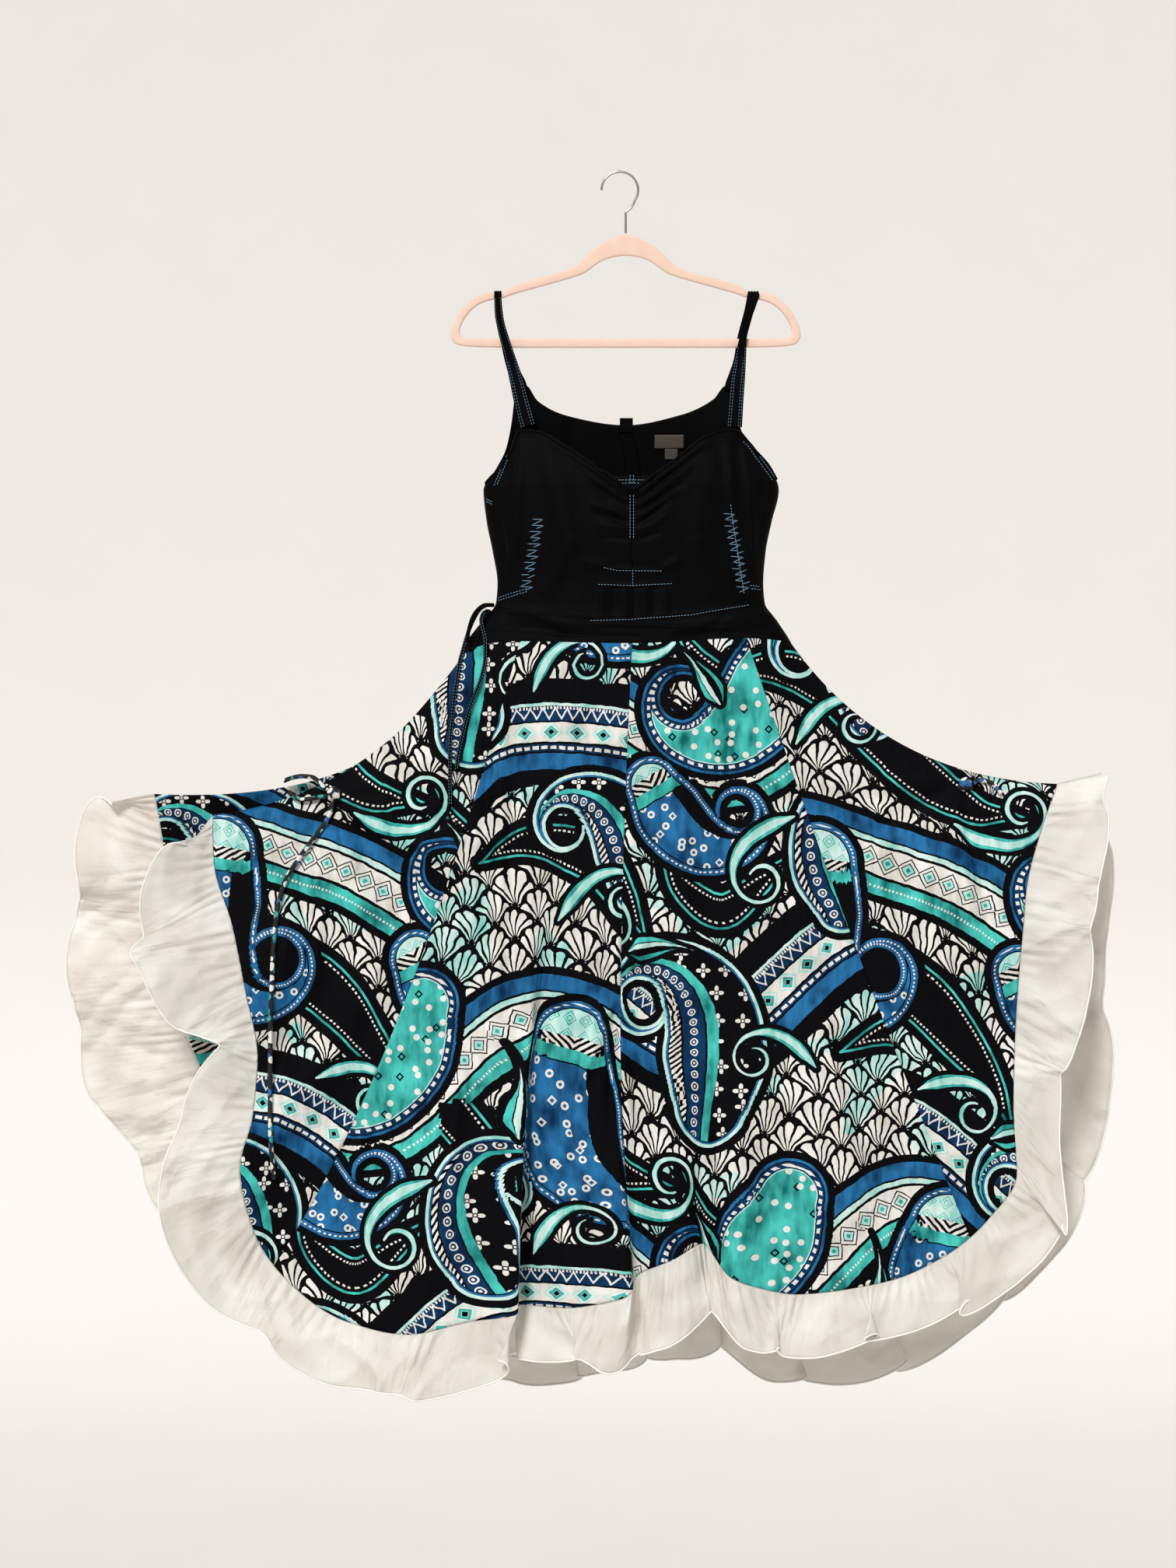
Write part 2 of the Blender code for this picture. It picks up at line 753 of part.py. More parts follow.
def back_patch(name, size, material):
    """Small flat piece on the inside of the back, made from the back's own surface."""
    points = []
    normals = []
    for height in size["heights"]:
        points.append([body_point(turn, height, "back") for turn in size["turns"]])
        normals.append([body_normal(turn, height, "back") for turn in size["turns"]])
    thickness = size["wall"] * MM
    wall(name, np.array(points), np.array(normals), thickness, material, size["offset"] * MM)


def edge_route(grid, first, last, lift):
    """Route of a binding just above the top edge of the front, between two columns."""
    points, normals = grid
    route = []
    for col in range(first, last + 1):
        along = points[0, min(col + 1, last)] - points[0, max(col - 1, first)]
        up = np.cross(normals[0, col], along)
        route.append(Vector(points[0, col] + up / np.linalg.norm(up) * lift))
    return route


def build_bindings(grid, black):
    """Rolled bindings on the armholes and neck of the front."""
    for side, turns in BINDING_TURNS.items():
        first, last = [FRONT_TURNS.index(turn) for turn in turns]
        route = edge_route(grid, first, last, BINDING_LIFT)
        make_tube("binding_front_" + side, route, 2 * BINDING_RADIUS, black, 1)


def rib_value(ribs, name, place):
    """A rib size at a place from 0 to 1 across the fan."""
    values = column(ribs, RIB_COLUMNS, name)
    return smooth_between(np.linspace(0.0, 1.0, len(values)), values, place)


def ramp(value):
    """Soft rise from 0 to 1."""
    value = min(max(value, 0.0), 1.0)
    return value * value * (3 - 2 * value)


def fold_shift(folds, place, down):
    """Height out of the skirt and shift to the right made by the folds."""
    height = 0.0
    shift = 0.0
    for centre, width, tall, lean, start in folds:
        grow = ramp((down - start) / (1.0 - start))
        bump = tall * MM * grow * math.exp(-(((place - centre) / width) ** 2))
        height += bump
        shift += bump * lean
    return height, shift


def skirt_point(face, place, down):
    """Centre of the skirt's cloth at a place across the fan and down its rib."""
    ribs, folds, top, hem_depth = {
        "front": (FRONT_RIBS, FRONT_FOLDS, FRONT_SKIRT_TOP, FRONT_HEM_DEPTH),
        "back": (BACK_RIBS, BACK_FOLDS, BACK_SKIRT_TOP, BACK_HEM_DEPTH),
    }[face]
    turn = min(max(rib_value(ribs, "turn", place), 0.0), 180.0)
    start = body_point(turn, edge_at(top, turn), face)
    middle = (rib_value(ribs, "mid_x", place) * MM, rib_value(ribs, "mid_z", place) * MM)
    hem = (rib_value(ribs, "hem_x", place) * MM, rib_value(ribs, "hem_z", place) * MM)
    first = (1 - down) * (1 - 2 * down)
    second = 4 * down * (1 - down)
    third = down * (2 * down - 1)
    x = first * start.x + second * middle[0] + third * hem[0]
    z = first * start.z + second * middle[1] + third * hem[1]
    swell = math.sqrt(max(math.sin(math.pi * place), 0.0))
    outward = -1.0 if face == "front" else 1.0
    height, shift = fold_shift(folds, place, down)
    deep = abs(start.y) * (1 - ramp(down)) + swell * hem_depth * ramp(down)
    y = outward * (SIDE_CLEAR + deep + swell * height)
    return Vector((x + shift * swell, y, z))


def build_skirt(face, material):
    """Four gores of one face; returns the hem row and its normals."""
    places = np.linspace(0.0, 1.0, SKIRT_COLUMNS + 1)
    downs = np.linspace(0.0, 1.0, SKIRT_ROWS) ** SKIRT_ROW_POWER
    points = grid_points(lambda p, d: skirt_point(face, p, d), places, downs)
    normals = grid_normals(points)
    points = draw_in(points, top=2 * SEAM_GAP)
    names = ("side_left", "left", "right", "side_right")
    for number, name in enumerate(names):
        start = round(GORE_PLACES[number] * SKIRT_COLUMNS)
        end = round(GORE_PLACES[number + 1] * SKIRT_COLUMNS)
        part = np.s_[:, start:end + 1]
        gaps = {"left": SEAM_GAP / 2, "right": SEAM_GAP / 2}
        gore = draw_in(points[part], **gaps)
        wall("skirt_" + face + "_" + name, gore, normals[part], COTTON_WALL, material)
    return points[-1], normals[-1]


def build_ruffle(face, hem, normals, waves, material):
    """Gathered ruffle from the hem row to its free edge."""
    ribs = FRONT_RIBS if face == "front" else BACK_RIBS
    outward = -1.0 if face == "front" else 1.0
    count = SKIRT_COLUMNS * RUFFLE_SPLITS
    rows = []
    for reach in RUFFLE_ROWS:
        row = []
        for number in range(count + 1):
            place = number / count
            index = min(number // RUFFLE_SPLITS, SKIRT_COLUMNS - 1)
            part = number / RUFFLE_SPLITS - index
            start = hem[index] * (1 - part) + hem[index + 1] * part
            edge = np.array(
                (
                    rib_value(ribs, "edge_x", place) * MM,
                    start[1],
                    rib_value(ribs, "edge_z", place) * MM,
                )
            )
            away = (edge - start) / np.linalg.norm(edge - start)
            spot = start + away * 2 * SEAM_GAP + (edge - start) * reach
            share, rate, start_phase = RUFFLE_UNEVEN
            uneven = 1 - share + share * math.sin(rate * place * math.pi + start_phase)
            drift, drift_rate = RUFFLE_DRIFT
            phase = 2 * math.pi * (waves * place + drift * math.sin(drift_rate * place))
            wave = (1 - math.cos(phase)) / 2
            grow = ramp(reach) * 0.55 + reach * 0.45
            spot[1] += outward * grow * (RUFFLE_LIFT + RUFFLE_WAVE_HEIGHT * uneven * wave)
            row.append(spot)
        rows.append(row)
    points = np.array(rows)
    facing = grid_normals(points)
    split = np.linspace(0.0, SKIRT_COLUMNS, count + 1)
    for axis in range(3):
        facing[0, :, axis] = np.interp(split, range(SKIRT_COLUMNS + 1), normals[:, axis])
    facing[0] /= np.linalg.norm(facing[0], axis=1, keepdims=True)
    wall("ruffle_" + face, points, facing, VOILE_WALL, material)


def build_knot(name, centre, material):
    """Small rounded knot of a bow."""
    bpy.ops.mesh.primitive_uv_sphere_add(segments=12, ring_count=8, radius=1.0, location=centre)
    knot = bpy.context.object
    knot.name = name
    knot.data.name = name
    knot.scale = KNOT_RADII
    bpy.ops.object.transform_apply(location=False, rotation=False, scale=True)
    knot.data.materials.append(material)
    knot.data.shade_smooth()


def build_ties(black, printed):
    """Waist ties, bows' knots and tails."""
    for name, table, diameter, material in (
        ("waist_tie_outer", WAIST_TIE_OUTER, TIE_DIAMETER, black),
        ("waist_tie_inner", WAIST_TIE_INNER, TIE_DIAMETER, black),
        ("bow_left_upper", BOW_LEFT_UPPER, PRINT_TIE_DIAMETER, printed),
        ("bow_left_lower", BOW_LEFT_LOWER, PRINT_TIE_DIAMETER, printed),
        ("bow_left_hanging", BOW_LEFT_HANGING, PRINT_TIE_DIAMETER, printed),
        ("bow_right_tail", BOW_RIGHT_TAIL, PRINT_TIE_DIAMETER, printed),
    ):
        route = smooth_route(table, diameter * CORD_STEP)
        make_tube(name, route, diameter, material, 2)
    build_knot("knot_left", LEFT_KNOT, printed)
    build_knot("knot_right", RIGHT_KNOT, printed)


def main():
    """Build the dress and its hanger."""
    clear_scene()
    velvet = make_material("velvet", (0.89, 0.60, 0.46), 0.9, sheen=0.6)
    wire = make_material("wire", (0.80, 0.74, 0.62), 0.28, metallic=1.0)
    black = make_material("black_cotton", (0.012, 0.012, 0.014), 0.8)
    printed = make_material("printed_cotton", (0.06, 0.25, 0.33), 0.75)
    voile = make_material("voile", (0.86, 0.83, 0.78), 0.7)
    satin = make_material("label_satin", (0.10, 0.09, 0.08), 0.4)
    build_hanger(velvet)
    build_hook(wire)
    front = build_front(black)
    build_back(black)
    back_patch("back_loop", LOOP, black)
    back_patch("neck_label", NECK_LABEL, satin)
    back_patch("size_tag", SIZE_TAG, satin)
    build_bindings(front, black)
    build_ribbon("strap_left", LEFT_STRAP, STRAP_WALL, black)
    build_ribbon("strap_right", RIGHT_STRAP, STRAP_WALL, black)
    for face, waves in (("front", RUFFLE_WAVES_FRONT), ("back", RUFFLE_WAVES_BACK)):
        hem, normals = build_skirt(face, printed)
        build_ruffle(face, hem, normals, waves, voile)
    build_ties(black, printed)


if __name__ == "__main__":
    main()
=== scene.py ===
"""Looks of a long flared dress that hangs by its straps from a slim velvet hanger.

The frame is the part's own: the origin is the underside of the hook's top, X runs to the right,
Y runs from the front to the back and Z up. Tables are in millimetres, the rest in metres.
"""

import logging
import math
from dataclasses import dataclass
from enum import Enum
from functools import partialmethod

import bpy
import numpy as np
from bpy.types import Material, Mesh, Node, NodeSocket, NodeTree, Object
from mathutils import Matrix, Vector


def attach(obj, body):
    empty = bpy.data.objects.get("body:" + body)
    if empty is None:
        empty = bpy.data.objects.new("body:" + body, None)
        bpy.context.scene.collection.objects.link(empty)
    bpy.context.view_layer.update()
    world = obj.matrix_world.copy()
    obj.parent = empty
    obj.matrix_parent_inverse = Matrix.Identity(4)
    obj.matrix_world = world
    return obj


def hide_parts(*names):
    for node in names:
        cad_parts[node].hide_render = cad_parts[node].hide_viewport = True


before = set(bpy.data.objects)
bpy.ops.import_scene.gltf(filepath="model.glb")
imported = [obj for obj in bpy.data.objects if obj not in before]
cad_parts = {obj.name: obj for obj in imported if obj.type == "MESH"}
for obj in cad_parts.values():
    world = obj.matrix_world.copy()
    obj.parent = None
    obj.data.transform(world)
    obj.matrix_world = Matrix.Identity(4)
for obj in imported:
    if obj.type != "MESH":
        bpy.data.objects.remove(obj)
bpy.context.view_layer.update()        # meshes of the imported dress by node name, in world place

Array = np.ndarray
# A colour: sRGB hex digits, or the socket that gives it
Paint = str | NodeSocket
LOG = logging.getLogger("dress")
MM = 0.001
BODY = "root"

# Thickness of the cloths, the gap between sewn pieces and the room at the side seams
COTTON_WALL = 1.0 * MM
VOILE_WALL = 0.5 * MM
STRAP_WALL = 1.6 * MM
SEAM_GAP = 0.3 * MM
SIDE_CLEAR = 0.8 * MM

# Half thickness of the rolled edges at the neck, and of the loop where the waist ties start
ROLL_RADIUS = 2.4 * MM
LOOP_RADIUS = 2.6 * MM

# Flat oval sections of the bodice and yoke: height, left side, right side, front and back depth
SECTION_COLUMNS = ("z", "left", "right", "front", "back")
SECTIONS = (
    (-262, -144, 158, 12, 10), (-300, -145, 160, 16, 13), (-330, -147, 163, 24, 17),
    (-355, -150, 177, 32, 21), (-380, -160, 195, 38, 24), (-408, -175, 204, 42, 26),
    (-448, -171, 195, 42, 26), (-488, -163, 187, 39, 25), (-528, -157, 184, 35, 24),
    (-553, -159, 186, 34, 24), (-578, -178, 203, 36, 26), (-607, -198, 221, 38, 28),
    (-630, -203, 229, 38, 28),
)

# Edges across the body: angle in degrees round the oval from the left side seam, and height
FRONT_TOP = (
    (0, -410), (9, -396), (17, -381), (23, -358), (28, -334), (43, -336), (56, -352), (70, -376),
    (80, -394), (90, -395), (98, -393), (103, -384), (113, -365), (130, -342), (148, -333), (158, -336),
    (164, -362), (171, -388), (180, -408),
)
FRONT_WAIST = ((0, -556), (45, -567), (90, -574), (135, -564), (180, -555))
FRONT_SKIRT_TOP = ((0, -622), (45, -604), (90, -607), (135, -600), (180, -606))
BACK_TOP = (
    (0, -410), (8, -372), (16, -330), (22, -272), (33, -273), (42, -292), (60, -310), (90, -322),
    (118, -309), (138, -290), (148, -273), (158, -272), (163, -330), (172, -372), (180, -408),
)
BACK_WAIST = ((0, -556), (90, -562), (180, -555))
BACK_SKIRT_TOP = ((0, -622), (90, -604), (180, -606))

# Ribs of the spread skirt: turn where the rib leaves the yoke, its middle, the ruffle seam and
# the ruffle's free edge
RIB_COLUMNS = ("turn", "mid_x", "mid_z", "hem_x", "hem_z", "edge_x", "edge_z")
FRONT_RIBS = (
    (0, -342, -763, -523, -826, -551, -850), (10, -360, -800, -518, -892, -598, -925),
    (18, -356, -850, -494, -965, -624, -1002), (24, -344, -905, -475, -1045, -566, -1078),
    (29, -332, -950, -460, -1130, -512, -1124), (34, -324, -995, -468, -1205, -552, -1195),
    (39, -314, -1035, -486, -1270, -585, -1300), (45, -296, -1066, -462, -1362, -520, -1435),
    (51, -262, -1090, -412, -1426, -448, -1490), (57, -222, -1102, -345, -1466, -365, -1537),
    (63, -184, -1104, -270, -1479, -282, -1556), (69, -150, -1102, -186, -1460, -182, -1536),
    (75, -116, -1096, -146, -1447, -142, -1506), (81, -76, -1090, -88, -1447, -84, -1508),
    (86, -38, -1084, -36, -1442, -34, -1508), (91, 0, -1078, 8, -1415, 16, -1512),
    (96, 42, -1078, 56, -1390, 54, -1488), (101, 84, -1078, 107, -1367, 112, -1458),
    (107, 126, -1076, 156, -1406, 154, -1484), (113, 172, -1072, 222, -1430, 220, -1501),
    (119, 216, -1064, 290, -1422, 292, -1488), (126, 258, -1048, 352, -1411, 356, -1473),
    (133, 292, -1024, 414, -1384, 430, -1450), (140, 316, -992, 470, -1334, 502, -1404),
    (147, 330, -956, 507, -1276, 560, -1334), (154, 336, -920, 500, -1190, 550, -1240),
    (160, 338, -885, 503, -1100, 572, -1120), (165, 338, -850, 508, -1010, 590, -1030),
    (170, 344, -812, 516, -926, 606, -935), (175, 354, -772, 540, -840, 614, -850),
    (180, 368, -738, 562, -786, 630, -768),
)
BACK_RIBS = (
    (0, -342, -763, -599, -799, -662, -795), (12, -366, -820, -588, -880, -700, -868),
    (22, -370, -890, -578, -970, -714, -975), (30, -366, -948, -576, -1062, -715, -1066),
    (38, -356, -998, -550, -1140, -695, -1172), (46, -340, -1038, -508, -1228, -645, -1256),
    (54, -314, -1068, -466, -1300, -594, -1342), (62, -280, -1088, -410, -1366, -520, -1420),
    (70, -240, -1102, -346, -1412, -420, -1484), (77, -196, -1106, -270, -1433, -300, -1546),
    (83, -146, -1106, -196, -1438, -196, -1564), (89, -96, -1104, -126, -1432, -124, -1570),
    (95, -46, -1100, -60, -1426, -52, -1570), (101, 4, -1096, 0, -1418, 4, -1545),
    (107, 54, -1092, 58, -1408, 62, -1538), (113, 108, -1088, 118, -1404, 132, -1532),
    (119, 162, -1082, 188, -1423, 202, -1562), (125, 216, -1072, 262, -1427, 280, -1564),
    (131, 262, -1052, 332, -1408, 368, -1549), (138, 298, -1022, 394, -1368, 458, -1499),
    (145, 322, -986, 443, -1308, 540, -1424), (153, 338, -942, 478, -1228, 606, -1332),
    (161, 348, -896, 488, -1128, 636, -1196), (168, 354, -848, 496, -1026, 636, -1066),
    (174, 358, -796, 513, -908, 632, -930), (180, 368, -738, 562, -786, 633, -763),
)

# Standing folds: place from 0 to 1 across the fan, width, height out of the skirt, lean of the
# crest to the right, and how far down the fold begins
FRONT_FOLDS = (
    (0.10, 0.030, 14, -0.2, 0.30), (0.19, 0.028, 22, 0.4, 0.15), (0.25, 0.030, -10, 0.0, 0.30),
    (0.33, 0.026, 16, 0.2, 0.45), (0.385, 0.020, 30, 1.1, 0.10), (0.415, 0.016, -18, 0.6, 0.10),
    (0.455, 0.018, 10, 0.2, 0.50), (0.487, 0.014, 22, 0.9, 0.48), (0.512, 0.013, -10, 0.0, 0.50),
    (0.545, 0.016, 12, 0.0, 0.35), (0.578, 0.014, -14, 0.6, 0.40), (0.602, 0.018, 24, -0.7, 0.40),
    (0.665, 0.030, 11, 0.1, 0.30), (0.73, 0.026, -10, 0.0, 0.25), (0.80, 0.026, 24, -0.4, 0.12),
    (0.86, 0.022, -8, 0.0, 0.40), (0.92, 0.024, 12, 0.2, 0.45),
)
BACK_FOLDS = (
    (0.08, 0.030, 10, 0.2, 0.30), (0.16, 0.030, 14, -0.3, 0.20), (0.25, 0.034, -10, 0.0, 0.30),
    (0.33, 0.028, 22, 0.6, 0.12), (0.40, 0.024, -11, 0.0, 0.25), (0.46, 0.022, 19, -0.5, 0.30),
    (0.53, 0.022, -10, 0.0, 0.35), (0.60, 0.024, 22, 0.7, 0.15), (0.68, 0.030, -10, 0.0, 0.30),
    (0.76, 0.028, 17, -0.3, 0.20), (0.85, 0.030, 10, 0.2, 0.35), (0.93, 0.026, -5, 0.0, 0.40),
)

# Creases laid on the cloth: both ends as x and z, half width and height
SKIRT_CREASES = (
    (-150, -650, -158, -1180, 9, 5.0), (-168, -700, -176, -1000, 7, -4.0),
    (-118, -780, -128, -1120, 10, 3.0), (-60, -640, -66, -980, 12, 2.6), (20, -660, 14, -980, 11, 2.4),
    (70, -680, 88, -1040, 12, 2.8), (150, -640, 196, -980, 11, 3.4), (190, -700, 262, -1090, 12, 4.0),
    (118, -620, 140, -860, 10, -2.4), (-200, -640, -262, -900, 11, 3.6),
    (-240, -760, -300, -1040, 12, -3.0), (-352, -820, -180, -905, 12, 8.0),
    (-356, -830, -210, -965, 11, -6.0), (-350, -808, -230, -820, 9, 6.0),
    (-364, -830, -290, -1040, 10, 7.0), (-372, -840, -398, -1080, 12, 8.0),
    (-380, -830, -436, -1180, 12, -7.0), (-5, -1043, -58, -1180, 8, 5.5),
    (-5, -1043, -22, -1260, 7, -4.5), (-5, -1043, 12, -1240, 8, 6.0), (-5, -1043, 52, -1190, 8, 5.0),
    (-5, -1043, 88, -1110, 8, -4.0), (-5, -1043, -90, -1080, 8, -3.5), (-5, -1043, 40, -960, 7, 3.0),
    (-5, -1043, -44, -950, 7, 3.0), (430, -800, 452, -1080, 11, 9.0), (436, -800, 480, -1010, 9, -7.0),
    (425, -795, 360, -1000, 11, 7.0), (425, -790, 300, -860, 10, -6.0), (420, -785, 290, -790, 10, 4.0),
    (260, -1080, 300, -1340, 12, 4.5), (150, -1120, 176, -1380, 10, 4.0),
    (-200, -1130, -236, -1420, 12, 4.5), (-300, -1080, -352, -1360, 12, 5.0),
    (-96, -1180, -100, -1420, 9, 4.5), (352, -1100, 408, -1300, 12, 4.0),
)
# Gathers that a knot draws in: x, z, reach and height
SKIRT_GATHERS = (
    (-5, -1043, 64, 4.0),
    (-366, -800, 84, 6.5),
    (440, -790, 84, 6.5),
)


# Crisp creases of the voile: spacing, slant, start and height
VOILE_CREASES = (
    (27, 0.3, 0.0, 1.5), (39, -0.6, 1.9, 2.4), (58, 0.2, 3.7, 3.4), (83, 0.9, 5.1, 4.2),
    (71, -1.3, 0.7, 3.4),
)


class Face(Enum):
    """The two faces of the hanging dress."""

    FRONT = "front"
    BACK = "back"

    @property
    def outward(self) -> float:
        """Sign of Y on the outside of this face."""
        return -1.0 if self is Face.FRONT else 1.0


def read_curve(places: Array, values: Array, at: Array) -> Array:
    """Read a table's column on a smooth curve that never swings past its rows.

    Args:
        places: where the rows stand along the table, rising.
        values: the column's values.
        at: the places to read, an array of any shape.

    Returns:
        The value at each place.
    """
    places = np.asarray(places, dtype=float)
    values = np.asarray(values, dtype=float)
    spans = np.diff(places)
    secants = np.diff(values) / spans
    before, after = secants[:-1], secants[1:]
    agree = before * after > 0
    inner = np.where(agree, 2 * before * after / np.where(agree, before + after, 1.0), 0.0)
    slopes = np.concatenate(([secants[0]], inner, [secants[-1]]))
    index = np.clip(np.searchsorted(places, at, side="right") - 1, 0, len(places) - 2)
    span = spans[index]
    t = np.clip((at - places[index]) / span, 0.0, 1.0)
    start = (1 + 2 * t) * (1 - t) ** 2 * values[index]
    start_slope = t * (1 - t) ** 2 * span * slopes[index]
    end = t * t * (3 - 2 * t) * values[index + 1]
    end_slope = t * t * (t - 1) * span * slopes[index + 1]
    return start + start_slope + end + end_slope


def distances(points: Array) -> Array:
    """How far along a route each of its points lies."""
    return np.concatenate(([0.0], np.cumsum(np.linalg.norm(np.diff(points, axis=0), axis=1))))


def read_rows(places: Array, rows: Array, at: Array) -> Array:
    """Every column of a table on its smooth curve, in a last axis."""
    return np.stack([read_curve(places, values, at) for values in rows.T], axis=-1)


def even_route(rows: Array, count: int) -> Array:
    """Even points on a smooth curve through others."""
    places = distances(rows)
    return read_rows(places, rows, np.linspace(0.0, places[-1], count))


def column(table: tuple, names: tuple[str, ...], name: str) -> Array:
    """One named column of a table."""
    return np.array([row[names.index(name)] for row in table], dtype=float)


def edge_at(table: tuple, turn: Array) -> Array:
    """Height in millimetres of an edge at angles round the body."""
    rows = np.array(table, dtype=float)
    return read_curve(rows[:, 0], rows[:, 1], turn)


def ramp(value: Array) -> Array:
    """Soft rise from 0 to 1."""
    value = np.clip(value, 0.0, 1.0)
    return value * value * (3 - 2 * value)


def crease_height(x: Array, z: Array, creases: tuple) -> Array:
    """Height of listed creases over the cloth.

    Args:
        x: places across, in millimetres.
        z: heights, in millimetres.
        creases: rows of both ends as x and z, half width and height.

    Returns:
        Height out of the cloth at each place, in metres.
    """
    total = np.zeros(np.broadcast(x, z).shape)
    for x1, z1, x2, z2, width, height in creases:
        span = (x2 - x1) ** 2 + (z2 - z1) ** 2
        along = ((x - x1) * (x2 - x1) + (z - z1) * (z2 - z1)) / span
        t = np.clip(along, 0.0, 1.0)
        off = np.hypot(x - x1 - t * (x2 - x1), z - z1 - t * (z2 - z1))
        fade = np.sqrt(np.clip(4 * t * (1 - t), 0.0, 1.0))
        total += height * MM * fade * np.exp(-((off / width) ** 2))
    return total


def unit(vectors: Array) -> Array:
    """The same directions, one long."""
    return vectors / np.maximum(np.linalg.norm(vectors, axis=-1, keepdims=True), 1e-12)


@dataclass(frozen=True)
class BodyForm:
    """The flat oval form that the bodice and the yoke follow."""

    sections: tuple = SECTIONS

    def size(self, name: str, z: Array) -> Array:
        """A size of the form at heights in millimetres."""
        depths = -column(self.sections, SECTION_COLUMNS, "z")
        return read_curve(depths, column(self.sections, SECTION_COLUMNS, name), -np.asarray(z))

    def point(self, turn: Array, z: Array, face: Face) -> Array:
        """Points on the oval.

        Args:
            turn: angles in degrees from the left side seam.
            z: heights in millimetres.
            face: the side that the points lie on.

        Returns:
            Points in metres, in a last axis of three.
        """
        left, right = self.size("left", z), self.size("right", z)
        angle = np.radians(turn)
        x = (left + right) / 2 - np.cos(angle) * (right - left) / 2
        y = face.outward * self.size(face.value, z) * np.sin(angle)
        return np.stack(np.broadcast_arrays(x, y, z), axis=-1) * MM

    def normal(self, turn: Array, z: Array, face: Face) -> Array:
        """Unit normals of the oval, pointing out of the body.

        Args:
            turn: angles in degrees.
            z: heights in millimetres.
            face: the side that they lie on.

        Returns:
            The normals, in a last axis of three.
        """
        around = self.point(turn + 0.5, z, face) - self.point(turn - 0.5, z, face)
        upward = self.point(turn, z + 1.0, face) - self.point(turn, z - 1.0, face)
        return unit(np.cross(around, upward)) * -face.outward

    def turn(self, x: Array, z: Array) -> Array:
        """Angles in degrees that lie over places given in millimetres.

        Args:
            x: places across.
            z: heights.

        Returns:
            The angles.
        """
        left, right = self.size("left", z), self.size("right", z)
        share = ((left + right) / 2 - x) / ((right - left) / 2)
        return np.degrees(np.arccos(np.clip(share, -0.999, 0.999)))


FORM = BodyForm()


def deselect() -> None:
    """Leave nothing selected, so that an operator acts on the new piece alone."""
    bpy.ops.object.select_all(action="DESELECT")


def apply_modifier(item: Object, kind: str, **settings: float | str | bool) -> None:
    """Add a modifier with its settings and apply it.

    Args:
        item: the piece to change.
        kind: the modifier's type.
        settings: its values by name.
    """
    modifier = item.modifiers.new(kind.title(), kind)
    for name, value in settings.items():
        setattr(modifier, name, value)
    bpy.context.view_layer.objects.active = item
    bpy.ops.object.modifier_apply(modifier=modifier.name)


def lay_cloth(name: str, points: Array, face: Face) -> Object:
    """Lay a primitive grid on a surface, facing out of the dress.

    Args:
        name: the piece's name.
        points: rows from the top down and columns from left to right, in metres.
        face: the side that it lies on.

    Returns:
        The sheet, one layer thick.
    """
    rows, cols = points.shape[:2]
    deselect()
    bpy.ops.mesh.primitive_grid_add(x_subdivisions=cols - 1, y_subdivisions=rows - 1, size=1.0)
    sheet = bpy.context.object
    sheet.name = sheet.data.name = name
    laid = mesh_order(points, face)
    sheet.data.vertices.foreach_set("co", laid.reshape(-1).astype(np.float32))
    sheet.data.update()
    sheet.data.shade_smooth()
    return sheet


def mesh_order(rows: Array, face: Face) -> Array:
    """Grid values in the order of a primitive grid's vertices, from the bottom row up."""
    return rows[::-1] if face is Face.FRONT else rows[::-1, ::-1]


def settle(piece: Object, slot: str, finish: Material, *nodes: str) -> None:
    """Ride a piece on the dress, with its finish and the nodes that it stands for.

    Args:
        piece: the finished object.
        slot: the record's material slot; not used.
        finish: the material that it wears.
        nodes: names of the CAD nodes that it replaces.
    """
    piece.data.materials.clear()
    piece.data.materials.append(finish)
    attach(piece, BODY)
    if nodes:
        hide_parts(*nodes)
    LOG.info("%s stands for %s", piece.name, ", ".join(nodes) or "no node")


def finish_sheet(
    sheet: Object, wall: float, slot: str, cloth: Material,
    node: str,
) -> None:
    """Args:
        sheet: the cloth, one layer thick.
        wall: its thickness, half to each side.
        slot: the record's material slot.
        cloth: the material that it wears.
        node: the CAD node that it stands for.
    """
    apply_modifier(sheet, "SOLIDIFY", thickness=wall, offset=0.0)
    settle(sheet, slot, cloth, node)


